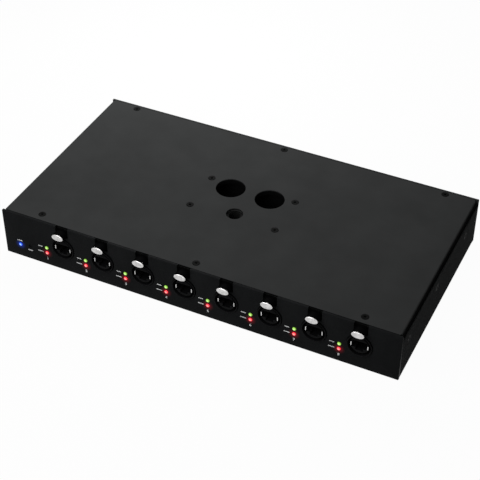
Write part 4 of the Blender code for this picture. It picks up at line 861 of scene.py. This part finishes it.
def make_lid(settings):
    """The lid: one sheet with round folds, whose side flanges drop inside the base's walls."""
    sizes, screw = settings.case, settings.screw
    sheet, bend, top = sizes.lid_sheet, sizes.lid_bend, LID_HIGH.z
    flat = LID_HIGH.x - bend
    edge = flat + bend * math.pi / 2 + top - bend - LID_LOW.z
    side, shorter = fold_marks(flat, bend, 9), 0.0013

    def outline(grow):
        notch, flange = 0.0002, side[len(side) // 2 + 1:]
        bends = [-flat - notch, -flat, flat, flat + notch]
        u = np.concatenate([[-edge - grow], -flange[::-1], bends, flange, [edge + grow]])
        v = np.where(np.abs(u) <= flat + 1e-9, LID_HIGH.y, LID_HIGH.y - shorter) + grow
        return np.concatenate([np.column_stack([u, -v]), np.column_stack([u, v])[::-1]])

    holes = [screw_hole(screw, x, y, sheet) for x, y in plan(COVER_SCREWS + RIGGING_SCREWS)]
    holes += rigging_openings(sizes, edge_stack(sheet, sizes.hole_edge))
    creases = [u for u in side if abs(u) > flat + 1e-6] + [-flat, flat]
    # The lid's coat paints shade, nearly black, on its flanges and cut front edge
    piece("lid_sheet", [slab(outline, edge_stack(sheet, 0.0001),
                             folded(flat, bend, top - bend, 1), holes, creases)],
          "lid_painted_shade_coat", replaces=["top_cover"])
    screw_piece("lid_screws", screw, 0.003, [((x, y, top), "top") for x, y in plan(COVER_SCREWS)],
                COVER_SCREWS)


def make_front(settings):
    """The front panel with its chamfered edge and holes, its studs and its printed marks."""
    sizes, light = settings.case, settings.light
    low, high = PANEL_LOW, PANEL_HIGH
    front, chamfer, knob_room, stud_z = low.y, sizes.panel_edge, 0.0004, 0.03
    ready, button = middle("power_light"), middle("reset_button")
    lens = light.lens + ROOM / 2
    rounds = []
    for x in PORT_XS.values():
        rounds += [(x, PORT_Z, settings.socket.ring + ROOM, 96),
                   (x + LIGHT_OFFSET, LINK_Z, lens, 32), (x + LIGHT_OFFSET, POWER_Z, lens, 32)]
    rounds += [(ready.x, POWER_Z, lens, 32), (button.x, button.z, light.button + ROOM, 32)]
    holes = [(round_loop(*place), wall(PANEL_SHEET, sizes.hole_edge)) for place in rounds]
    outline = notched_loop(low, high, settings.latch.knob_width / 2 + knob_room)
    edge = [(chamfer, 0), (chamfer * 0.3, chamfer * 0.3), (0, chamfer), (0, PANEL_SHEET)]
    piece("front_plate", [slab(outline, edge, facing("front", front), holes)], "lacquer",
          replaces=["front_panel"])
    stud = [[0, 0.0015], [0.0015, 0.0015], [0.0015, 0.0077], [0.0012, 0.008], [0, 0.008]]
    nut = [[0.0015, 0.0036], [0.0029, 0.0036], [0.0031, 0.0038], [0.0031, 0.0058],
           [0.0029, 0.006], [0.0015, 0.006], [0.0015, 0.0036]]
    studs = [turned(line, (x, front, stud_z), "Y", sides)
             for x in (low.x + 0.009, -0.0619, 0.0121, 0.0861, high.x - 0.009)
             for line, sides in ((stud, 20), (nut, 6))]
    piece("panel_studs", studs, "steel", angle=20)
    print_marks(front, ready, button)


def notched_loop(low, high, half):
    """The front panel's outline: a rectangle with round corners, and a notch for each knob that
    opens at the top edge. A quarter circle of points goes round each corner."""
    quarter = quarter_turn(4)
    corner, floor = 0.0005, PIVOTS["latch_press_1"].z - 0.00406

    def arc(u, v, radius, start, way=1):
        turn = start + way * quarter
        return np.column_stack([u + radius * np.cos(turn), v + radius * np.sin(turn)])

    def loop(grow):
        left, right = low.x - grow, high.x + grow
        bottom, top = low.z - grow, high.z + grow
        soft, deep = corner + grow, corner - grow
        rows = [arc(left + soft, bottom + soft, soft, math.pi),
                arc(right - soft, bottom + soft, soft, math.pi * 1.5),
                arc(right - soft, top - soft, soft, 0.0)]
        for x in sorted(PORT_XS.values(), reverse=True):
            east, west, sill = x + half - grow, x - half + grow, floor + grow
            rows += [[(east, top)], arc(east - deep, sill + deep, deep, 0.0, -1),
                     arc(west + deep, sill + deep, deep, math.pi * 1.5, -1), [(west, top)]]
        rows.append(arc(left + soft, top - soft, soft, math.pi / 2))
        return np.concatenate(rows)
    return loop


def print_marks(front, ready, button):
    """White ink on the panel: a plain number under each pair of lights, and a plain short bar
    beside each light, over the ready light and under the reset button."""
    ink, places, half, film = [], [], 0.00042, 0.00004
    for port in PORTS:
        x = PORT_XS[port] + LIGHT_OFFSET
        ink.append(number_mesh(port, x, front))
        places += [(x - 0.0060, LINK_Z + 0.0002, 0.0042), (x - 0.0062, POWER_Z + 0.0001, 0.0052)]
    places += [(ready.x - 0.0002, POWER_Z + 0.0041, 0.0050), (button.x, button.z - 0.0040, 0.0046)]
    for x, z, wide in places:
        ink.append(slab(centred_loop(x, z, wide / 2, half, 0.0004, 4), wall(film),
                        facing("front", front - film / 2)))
    piece("panel_marks", ink, "ink", angle=60)


def number_mesh(number, x, front):
    """A plain number as a thin shell on the panel, centred on x, under the lights."""
    foot = 0.0057
    letters = bpy.data.curves.new("number", "FONT")
    letters.body = str(number)
    letters.size = 0.0035
    letters.offset = 0.0001
    letters.extrude = 0.00002
    letters.align_x = "CENTER"
    letters.resolution_u = 6
    holder = added("number", letters)
    seen = holder.evaluated_get(bpy.context.evaluated_depsgraph_get())
    mesh = seen.to_mesh()
    points = points_of(mesh)
    faces = [tuple(face.vertices) for face in mesh.polygons]
    seen.to_mesh_clear()
    bpy.data.objects.remove(holder)
    return np.stack([points[:, 0] + x, front - points[:, 2], points[:, 1] + foot], -1), faces


def make_rear(settings):
    """The rear panel with its cut-out and flush screws."""
    screw = settings.screw
    places = [(x, z) for x in (-0.162, 0.0, 0.166) for z in (0.0365, 0.0075)]
    holes = [screw_hole(screw, x, z, PANEL_SHEET) for x, z in places]
    holes.append((inlet_opening(), wall(PANEL_SHEET)))
    piece("rear_plate", [slab(face_loop(REAR_LOW, REAR_HIGH, 0.0005, 4),
                              wall(PANEL_SHEET, settings.case.panel_edge),
                              facing("back", REAR_HIGH.y), holes)],
          "coat", replaces=["rear_panel"])
    screw_piece("rear_screws", screw, 0.0055, [((x, REAR_HIGH.y, z), "back") for x, z in places])


def make_rigging(settings):
    """The load plate with its screws, and the nut with the clamp's thread: a zigzag of the
    bore's radius along its height."""
    screw = settings.screw
    low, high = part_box("rigging_plate")
    thickness = high.z - low.z
    stack = edge_stack(thickness, 0.0002)
    holes = rigging_openings(settings.case, stack)
    holes += [(round_loop(x, y, screw.shank + SCREW_ROOM, 24), wall(thickness))
              for x, y in plan(RIGGING_SCREWS)]
    outline = corner_loop(low.x, low.y, high.x, high.y, 0.002, 5)
    # The plate's coat paints shade, nearly black, everywhere but the clamp hole's wall
    piece("load_plate", [slab(outline, stack, facing("top", high.z), holes)], "plate_painted_shade_coat",
          replaces=["rigging_plate"])
    screw_piece("plate_screws", screw, 0.0085, [
        ((x, y, LID_HIGH.z), "top") for x, y in plan(RIGGING_SCREWS)], RIGGING_SCREWS)

    low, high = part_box("clamp_nut")
    nut = middle("clamp_nut")
    bore, barrel, flange, pitch, soft = 0.0043, 0.0067, 0.009, 0.00125, 0.0003
    turns = np.arange(0, high.z - low.z - 0.0012, pitch / 4)
    thread = np.stack([bore + 0.0004 * np.abs((turns / pitch) % 1 * 2 - 1),
                       high.z - 0.0007 - turns], -1)
    shoulder = high.z - 0.0030
    profile = np.concatenate([
        [[bore + 0.0007, high.z], [barrel - 0.0002, high.z], [barrel, high.z - 0.0002],
         [barrel, shoulder], [flange - soft, shoulder], [flange, shoulder - soft],
         [flange, low.z + soft], [flange - soft, low.z], [bore + 0.0006, low.z]],
        thread[::-1], [[bore + 0.0007, high.z]]])
    piece("clamp_thread", [turned(profile, (nut.x, nut.y, 0), "Z", 64)], "black_screw",
          replaces=["clamp_nut"], angle=24)


def socket_shells(sizes, x, front):
    """A socket's black shells: ring with its bore, and nose with its keyed cavity."""
    ring, bore, proud = sizes.ring, sizes.bore, sizes.proud
    face, depth, lip = sizes.recess - proud, 0.0255, 0.00035
    turn = quarter_turn(5)
    along = -proud + lip - lip * np.cos(turn)
    rim_out = np.stack([ring - lip + lip * np.sin(turn), along], -1)
    rim_in = np.stack([bore + lip - lip * np.sin(turn), along], -1)
    profile = np.concatenate([[[0, depth + 0.002], [ring, depth + 0.002]], rim_out[::-1], rim_in,
                              [[bore, depth], [0, depth]]])
    centre = (x, front, PORT_Z)
    half, above, below = sizes.cavity / 2, 0.0038, 0.0029
    key, key_floor = 0.0031, 0.0054
    keyed = point_loop([(half, above), (-half, above), (-half, -below), (-key, -below),
                        (-key, -key_floor), (key, -key_floor), (key, -below), (half, -below)])
    holes = [(keyed, wall(0.0125, 0.0003))]
    slot, slot_wide, slot_tall = 0.0067, 0.0005, 0.0028
    holes += [(centred_loop(sign * slot, 0, slot_wide, slot_tall, 0.0002, 3), wall(0.006))
              for sign in (-1, 1)]
    chamfer = 0.0006
    stack = [(chamfer, 0), (chamfer * 0.25, chamfer * 0.3), (0, chamfer),
             (0, depth - 0.0002 - face)]
    points, faces = slab(round_loop(0, 0, sizes.nose, 96), stack, facing("front", face), holes)
    return [turned(profile, centre, "Y", 96), (points + centre, faces)]


def housing_shells(x, front):
    """The socket's block behind the panel, with the two ears that carry the latch's pin."""
    low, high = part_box("socket_1")
    half, start, long = 0.0125, front + BEHIND_PANEL, 0.0292
    bore, bore_depth = 0.0101, 0.0232
    ear_inside, ear_outside, ear_long = 0.0053, 0.0078, 0.0097
    top = PORT_Z + half
    outline = corner_loop(x - half, low.z, x + half, top, 0.0006, 4)
    hole = (round_loop(x, PORT_Z, bore, 64), wall(bore_depth))
    shells = [slab(outline, edge_stack(long, 0.0003), facing("front", start), [hole])]
    for sign in (-1, 1):
        inner, outer = x + sign * ear_inside, x + sign * ear_outside
        shells.append(block((inner, start, top - 0.0003), (outer, start + ear_long, high.z),
                            0.0004, "right"))
    return shells


def make_sockets(settings):
    """The eight sockets, each with contacts, bent as a power of a sine of the way along, and
    earthing strips."""
    sizes, front = settings.socket, PANEL_LOW.y
    face = front + sizes.recess - sizes.proud
    along, pitch, wire = np.linspace(0, 1, 14), 0.00102, 0.00023
    strip, strip_wide = 0.0068, 0.0004
    for port, x in PORT_XS.items():
        piece(f"socket_nose_{port}", socket_shells(sizes, x, front), "plastic")
        piece(f"socket_block_{port}", housing_shells(x, front), "shade_painted_plastic",
              replaces=[f"socket_{port}"])
        contacts = []
        for number in range(sizes.contacts):
            place = x + (number - (sizes.contacts - 1) / 2) * pitch
            bent = PORT_Z + 0.0034 - 0.0024 * np.sin(along * 1.9) ** 1.4
            path = [np.full(len(along), place), face + 0.0016 + along * 0.0088, bent]
            contacts.append(tube(np.stack(path, -1), wire, 8, (1, 0, 0)))
        piece(f"socket_contacts_{port}", contacts, "gold")
        strips = [block((x + sign * strip - strip_wide, face - 0.00025, PORT_Z - 0.0019),
                        (x + sign * strip + strip_wide, face + 0.0055, PORT_Z + 0.0016),
                        0.00022, "front", 4) for sign in (-1, 1)]
        piece(f"socket_strips_{port}", strips, "strip")


def make_latches(settings):
    """The eight latches: a tab whose dome rises with the square of the radius, on an oval knob,
    and a rocker with its stem, arm, hook, pin and spring, a helix round the pin."""
    sizes = settings.latch
    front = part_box("latch_1")[0].y
    half, thickness, edge = sizes.tab_height / 2, sizes.tab_thickness, 0.00045
    wide = sizes.tab_width / sizes.tab_height
    turn = quarter_turn(6)
    dome = np.linspace(0, 1, 10)
    crown = np.stack([dome * (half - edge), sizes.crown * dome ** 2], -1)
    rim = np.stack([half - edge + edge * np.sin(turn), sizes.crown + edge * (1 - np.cos(turn))], -1)
    rear = np.stack([half - edge + edge * np.cos(turn), thickness - edge + edge * np.sin(turn)], -1)
    profile = np.concatenate([crown, rim[1:], rear, [[0, thickness]]])
    pin = [[0, -0.0077], [0.0007, -0.0077], [0.0008, -0.0076], [0.0008, 0.0076],
           [0.0007, 0.0077], [0, 0.0077]]
    turns, first, pitch, radius, wire = 3, 0.0033, 0.0004, 0.0014, 0.00018
    angle = np.linspace(0, math.tau * turns, turns * 24 + 1)
    coil = np.stack([first + pitch * angle / math.tau, radius * np.cos(angle),
                     radius * np.sin(angle)], -1)
    side, rise, tall = sizes.stem_width / 2, sizes.stem_thickness / 2, sizes.knob_height / 2
    for port in PORTS:
        pivot, body = PIVOTS[f"latch_press_{port}"], f"rocker_{port}"
        x, y, z = pivot
        tab_z = z + 0.00035
        piece(f"tab_{port}", [turned(profile, (x, front, tab_z - 0.0001), "Y", 96, wide)],
              "nickel", body, replaces=[f"latch_{port}"])
        start, stop = front + thickness - 0.0002, y - 0.0058
        knob = np.stack([[0, tall - 0.0003, tall, tall, tall - 0.0003, 0],
                         [start, start, start + 0.0003, stop - 0.0003, stop, stop]], -1)
        shells = [turned(knob, (x, 0, tab_z), "Y", 64, sizes.knob_width / sizes.knob_height),
                  block((x - side, y - 0.0072, z - rise), (x + side, y - 0.0028, z + rise),
                        0.0005, "front", 4),
                  block((x - 0.003, y - 0.0034, z - 0.0014), (x + 0.003, y + 0.011, z + 0.0014)),
                  block((x - 0.0018, y + 0.008, PORT_Z + 0.0084), (x + 0.0018, y + 0.010, z),
                        direction="front")]
        # The knob and rocker take the black plastic darkened as painted shade
        piece(f"rocker_arm_{port}", shells, "shade_painted_plastic", body)
        piece(f"pivot_pin_{port}", [turned(pin, (x, y, z), "X", 24)], "steel", body)
        piece(f"latch_spring_{port}", [tube(coil + pivot, wire, 8, (1, 0, 0))], "spring", body)


def lens_piece(name, places, sizes, finish):
    """Domed lenses: radius times the sine of an angle across, and its cosine along, with each
    point's glow falling from 1 in the middle to 0 at the rim."""
    turn, long = quarter_turn(9), 0.0026
    dome = np.stack([sizes.lens * np.sin(turn), -sizes.proud * np.cos(turn)], -1)
    profile = np.concatenate([dome, [[sizes.lens, long], [0, long]]])
    thing = piece(name, [turned(profile, (x, PANEL_LOW.y, z), "Y", 32) for x, z in places],
                  finish, angle=60)
    away = np.linalg.norm(points_of(thing.data)[:, None, [0, 2]] - np.array(places), axis=-1)
    glow = thing.data.attributes.new("glow", "FLOAT", "POINT")
    glow.data.foreach_set("value", np.clip(1 - away.min(1) / sizes.lens, 0, 1).astype(np.float32))


def make_lights(settings):
    """The lenses of the lights, their blocks on the board, and the reset button."""
    sizes = settings.light
    xs = [x + LIGHT_OFFSET for x in PORT_XS.values()]
    lens_piece("link_lenses", [(x, LINK_Z) for x in xs], sizes, "link")
    lens_piece("power_lenses", [(x, POWER_Z) for x in xs], sizes, "power")
    lens_piece("ready_lens", [(middle("power_light").x, POWER_Z)], sizes, "ready")
    nodes = [*(f"port_lights_{port}" for port in PORTS), "power_light"]
    boxes = [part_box(node) for node in nodes]
    piece("light_blocks", [block((low.x, PANEL_LOW.y + BEHIND_PANEL, low.z), high)
                           for low, high in boxes], "shade_painted_plastic", replaces=nodes)
    low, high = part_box("reset_button")
    button, radius, long = middle("reset_button"), sizes.button, high.y - low.y
    profile = [[0, 0.0001], [radius * 0.55, 0], [radius * 0.9, 0.00005], [radius, 0.0002],
               [radius, 0.0015], [0.0021, 0.0015], [0.0021, 0.0023], [radius, 0.0023],
               [radius, long], [0, long]]
    piece("reset_cap", [turned(profile, (button.x, low.y, button.z), "Y", 32)], "plastic", "reset",
          replaces=["reset_button"], slot="grey_plastic")


def make_inlet(settings):
    """The mains inlet: flange, chamfered cavity, blades, screws and fuse drawer."""
    screw, z = settings.screw, INLET_Z
    low, high = INLET_LOW, INLET_HIGH
    x, face = middle("mains_inlet").x, high.y
    flange = face - REAR_HIGH.y - ROOM
    plug_z, tall, half, corner = z + 0.0047, 0.008, 0.0121, 0.004
    bottom, top = plug_z - tall, plug_z + tall
    keyed = point_loop([(x - half, bottom), (x + half, bottom), (x + half, top - corner),
                        (x + half - corner, top), (x - half + corner, top),
                        (x - half, top - corner)])
    drawer = face_loop(DRAWER_LOW, DRAWER_HIGH, 0.0004, 3, ROOM)
    aside = 0.020
    bolts = [(x - aside, z), (x + aside, z)]
    holes = [(keyed, wall(flange, 0.0004)), (drawer, wall(flange, 0.0002))]
    holes += [screw_hole(screw, u, v, flange) for u, v in bolts]
    shells = [slab(face_loop(low, high, 0.004, 8),
                   [(0.0005, 0), (0.00015, 0.00015), (0, 0.0005), (0, flange)],
                   facing("back", face), holes)]
    reach, depth = 0.01375, 0.024
    shells.append(slab(centred_loop(x, z, reach, reach, 0.0008, 4),
                       [(0, 0), (0, depth - 0.0003), (0.0003, depth)],
                       facing("back", face - flange + 0.00005),
                       [(keyed, wall(0.015)), (drawer, wall(0.0208))]))
    piece("inlet_shell", shells, "plastic", replaces=["mains_inlet"])
    blades = []
    for shift, rise in ((-0.007, -0.0005), (0.0, 0.004), (0.007, -0.0005)):
        level = plug_z + rise
        blades.append(block((x + shift - 0.001, low.y, level - 0.002),
                            (x + shift + 0.001, face - 0.0025, level + 0.002), 0.0004, "front"))
    piece("inlet_blades", blades, "nickel")
    screw_piece("inlet_screws", screw, 0.008, [((u, face, v), "back") for u, v in bolts])
    make_drawer(face)


def make_drawer(face):
    """The fuse drawer with its finger slot, and the fuse: a glass tube with two caps."""
    low, high = DRAWER_LOW, DRAWER_HIGH
    x, z = (low.x + high.x) / 2, (low.z + high.z) / 2
    slot = centred_loop(x, z, 0.0045, 0.0006, 0.0003, 4)
    inner = face - 0.0023
    shells = [slab(face_loop(low, high, 0.0004, 4), wall(0.0024, 0.0003), facing("back", face),
                   [(slot, wall(0.0009, 0.0002))]),
              block(low, (high.x, inner, low.z + 0.0005), 0.0002)]
    for sign in (-1, 1):
        side = x + sign * 0.006
        shells.append(block((side, low.y, low.z + 0.0003), (side - sign * 0.0031, inner, high.z)))
    shells.append(block((low.x, low.y, low.z + 0.0003), (high.x, low.y + 0.0008, high.z), 0.0002))
    piece("drawer_tray", shells, "plastic", "drawer", replaces=["fuse_drawer"])
    low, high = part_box("fuse")
    radius, reach = (high.x - low.x) / 2, (high.y - low.y) / 2
    centre = (x, (low.y + high.y) / 2, z)
    tube_radius, tube_reach = radius * 0.92, reach - 0.004
    glass = [[0, -tube_reach], [tube_radius, -tube_reach], [tube_radius, tube_reach],
             [0, tube_reach]]
    piece("fuse_tube", [turned(glass, centre, "Y", 32)], "glass", "drawer", replaces=["fuse"])
    caps = [turned([[0, sign * reach], [radius * 0.9, sign * reach],
                    [radius, sign * (reach - 0.0003)], [radius, sign * (reach - 0.005)],
                    [0, sign * (reach - 0.005)]], centre, "Y", 32) for sign in (-1, 1)]
    piece("fuse_caps", caps, "nickel", "drawer")


def dress_inside():
    """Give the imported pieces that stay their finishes."""
    # The cable channel takes the coat with painted shade, nearly black
    finishes = {
        "inner_painted_shade_coat": ["cable_channel"], "board": ["main_board", "supply_board"],
        "grey": ["insulating_sheet"], "chip": ["port_transformers_left", "port_transformers_right"],
        "milled": ["chip_cooler", "supply_cooler"], "tape": ["supply_transformer"],
        "shade_painted_plastic": ["supply_capacitor"], "red": ["supply_cable"], "brown": ["live_wire"],
        "blue": ["neutral_wire"], "earth": ["earth_wire"],
    }
    for finish, nodes in finishes.items():
        for node in nodes:
            mesh = frame["nodes"][node].data
            mesh.materials.clear()
            mesh.materials.append(MATERIALS[finish])


# Stage


def make_stage(settings):
    """A pale floor, soft lamps and the camera."""
    floor_mesh = bpy.data.meshes.new("floor")
    side, sunk = 6.0, -0.0002
    floor_mesh.from_pydata([(-side, -side, sunk), (side, -side, sunk), (side, side, sunk),
                            (-side, side, sunk)], [], [(0, 1, 2, 3)])
    floor_mesh.materials.append(pale_floor())
    added("floor", floor_mesh)
    world = bpy.data.worlds.new("studio")
    world.use_nodes = True
    bpy.context.scene.world = world
    background = world.node_tree.nodes["Background"]
    background.inputs["Color"].default_value = (1, 1, 1, 1)
    strength = background_rays(Wire(world.node_tree)) * 0.9 + 0.1
    world.node_tree.links.new(strength.socket, background.inputs["Strength"])
    level = settings.finish.lamp
    lamp("key_lamp", (-0.20, 0.30, 0.30), (0, 0, 0.04), 0.3, 2.1 * level)
    lamp("fill_lamp", (-0.13, -0.48, 0.54), (0, 0, 0.02), 0.6, 3.1 * level)
    add_camera()


def background_rays(wire):
    """1 for a ray that shows the background: from the camera, through glass or off gloss."""
    rays = wire.node("ShaderNodeLightPath").socket.node.outputs
    seen = Wire(wire.tree, rays["Is Camera Ray"]) + Wire(wire.tree, rays["Is Transmission Ray"])
    return (seen + Wire(wire.tree, rays["Is Glossy Ray"])).within(0, 1)


def pale_floor():
    """A white floor that keeps some of the object's shadow."""
    made = bpy.data.materials.new("pale_floor")
    made.use_nodes = True
    tree = made.node_tree
    tree.nodes.clear()
    wire = Wire(tree)
    share = background_rays(wire) * 0.97
    white = wire.node("ShaderNodeEmission", {}, {"Color": (1, 1, 1, 1), "Strength": 1.0})
    lit = wire.node("ShaderNodeBsdfDiffuse", {}, {"Color": (0.62, 0.62, 0.62, 1)})
    mixed = wire.node("ShaderNodeMixShader", {}, {0: share, 1: lit, 2: white})
    out = tree.nodes.new("ShaderNodeOutputMaterial")
    tree.links.new(mixed.socket, out.inputs["Surface"])
    return made


def lamp(name, place, target, size, power):
    """A square soft lamp that faces a point."""
    light = bpy.data.lights.new(name, "AREA")
    light.size = size
    light.energy = power
    holder = added(name, light)
    holder.location = place
    holder.rotation_euler = (Vector(place) - Vector(target)).to_track_quat("Z", "Y").to_euler()


def add_camera():
    """The camera at the photographed angle: so many degrees round and up, and so far away. Its
    focal length is given in pixels of a picture that is so many pixels wide."""
    turn, rise, distance = math.radians(25.71), math.radians(39.62), 1.057
    lens_pixels, picture_pixels = 1286, 480
    target = Vector((0.0071, -0.0181, 0.0221))
    back = Vector((math.sin(turn) * math.cos(rise), -math.cos(turn) * math.cos(rise),
                   math.sin(rise)))
    camera = bpy.data.cameras.new("camera")
    camera.lens = lens_pixels / picture_pixels * camera.sensor_width
    camera.clip_start = 0.01
    holder = added("camera", camera)
    holder.location = target + back * distance
    holder.rotation_euler = back.to_track_quat("Z", "Y").to_euler()
    bpy.context.scene.camera = holder


# Operators, panel and registration

UNDOABLE = {"REGISTER", "UNDO"}


def built(make, context):
    """Run a making function on the settings, and report that its operator is done."""
    make(context.scene.switch_settings)
    return {"FINISHED"}


class SWITCH_OT_stage(bpy.types.Operator):
    """Add the floor, the lamps and the camera"""
    bl_idname = "switch.stage"
    bl_label = "Stage"
    bl_options = UNDOABLE

    def execute(self, context):
        """Make the materials first, and then the stage."""
        context.scene.view_settings.view_transform = "Standard"
        MATERIALS.update(make_materials(context.scene.switch_settings.finish))
        return built(make_stage, context)


class SWITCH_OT_tray(bpy.types.Operator):
    """Build the base tray with its standoffs and side screws"""
    bl_idname = "switch.tray"
    bl_label = "Base tray"
    bl_options = UNDOABLE

    def execute(self, context):
        return built(make_tray, context)


class SWITCH_OT_lid(bpy.types.Operator):
    """Build the lid with its screws"""
    bl_idname = "switch.lid"
    bl_label = "Lid"
    bl_options = UNDOABLE

    def execute(self, context):
        return built(make_lid, context)


class SWITCH_OT_front(bpy.types.Operator):
    """Build the front panel with its printed marks"""
    bl_idname = "switch.front"
    bl_label = "Front panel"
    bl_options = UNDOABLE

    def execute(self, context):
        return built(make_front, context)


class SWITCH_OT_rear(bpy.types.Operator):
    """Build the rear panel with its screws"""
    bl_idname = "switch.rear"
    bl_label = "Rear panel"
    bl_options = UNDOABLE

    def execute(self, context):
        return built(make_rear, context)


class SWITCH_OT_rigging(bpy.types.Operator):
    """Build the rigging point's plate, nut and screws"""
    bl_idname = "switch.rigging"
    bl_label = "Rigging point"
    bl_options = UNDOABLE

    def execute(self, context):
        return built(make_rigging, context)


class SWITCH_OT_sockets(bpy.types.Operator):
    """Build the sockets"""
    bl_idname = "switch.sockets"
    bl_label = "Sockets"
    bl_options = UNDOABLE

    def execute(self, context):
        return built(make_sockets, context)


class SWITCH_OT_latches(bpy.types.Operator):
    """Build the latches"""
    bl_idname = "switch.latches"
    bl_label = "Latches"
    bl_options = UNDOABLE

    def execute(self, context):
        return built(make_latches, context)


class SWITCH_OT_lights(bpy.types.Operator):
    """Build the lights and the reset button"""
    bl_idname = "switch.lights"
    bl_label = "Lights and button"
    bl_options = UNDOABLE

    def execute(self, context):
        return built(make_lights, context)


class SWITCH_OT_inlet(bpy.types.Operator):
    """Build the mains inlet with its fuse drawer"""
    bl_idname = "switch.inlet"
    bl_label = "Mains inlet"
    bl_options = UNDOABLE

    def execute(self, context):
        return built(make_inlet, context)


class SWITCH_OT_inside(bpy.types.Operator):
    """Give the boards, the supply and the wires their finishes"""
    bl_idname = "switch.inside"
    bl_label = "Boards and wires"
    bl_options = UNDOABLE

    def execute(self, context):
        dress_inside()
        return {"FINISHED"}


GROUPS = (CaseSizes, SocketSizes, LatchSizes, LightSizes, ScrewSizes, Finishes, SwitchSettings)
OPERATORS = (SWITCH_OT_stage, SWITCH_OT_tray, SWITCH_OT_lid, SWITCH_OT_front, SWITCH_OT_rear,
             SWITCH_OT_rigging, SWITCH_OT_sockets, SWITCH_OT_latches, SWITCH_OT_lights,
             SWITCH_OT_inlet, SWITCH_OT_inside)


class SWITCH_PT_panel(bpy.types.Panel):
    """Lists the operators and the settings"""
    bl_label = "Network switch"
    bl_idname = "SWITCH_PT_panel"
    bl_space_type = "VIEW_3D"
    bl_region_type = "UI"
    bl_category = "Switch"

    def draw(self, context):
        """Draw a button for each operator, and each group of settings."""
        for operator in OPERATORS:
            self.layout.operator(operator.bl_idname)
        settings = context.scene.switch_settings
        for group in ("case", "socket", "latch", "light", "screw", "finish"):
            box = self.layout.box()
            values = getattr(settings, group)
            for name in values.__annotations__:
                box.prop(values, name)


def register():
    """Register the classes and hang the settings on the scene."""
    for item in (*GROUPS, *OPERATORS, SWITCH_PT_panel):
        bpy.utils.register_class(item)
    bpy.types.Scene.switch_settings = PointerProperty(type=SwitchSettings)


def unregister():
    """Take the settings and the classes away."""
    del bpy.types.Scene.switch_settings
    for item in reversed((*GROUPS, *OPERATORS, SWITCH_PT_panel)):
        bpy.utils.unregister_class(item)


def main():
    """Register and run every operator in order."""
    register()
    for operator in OPERATORS:
        group, name = operator.bl_idname.split(".")
        getattr(getattr(bpy.ops, group), name)()


if __name__ == "__main__":
    main()
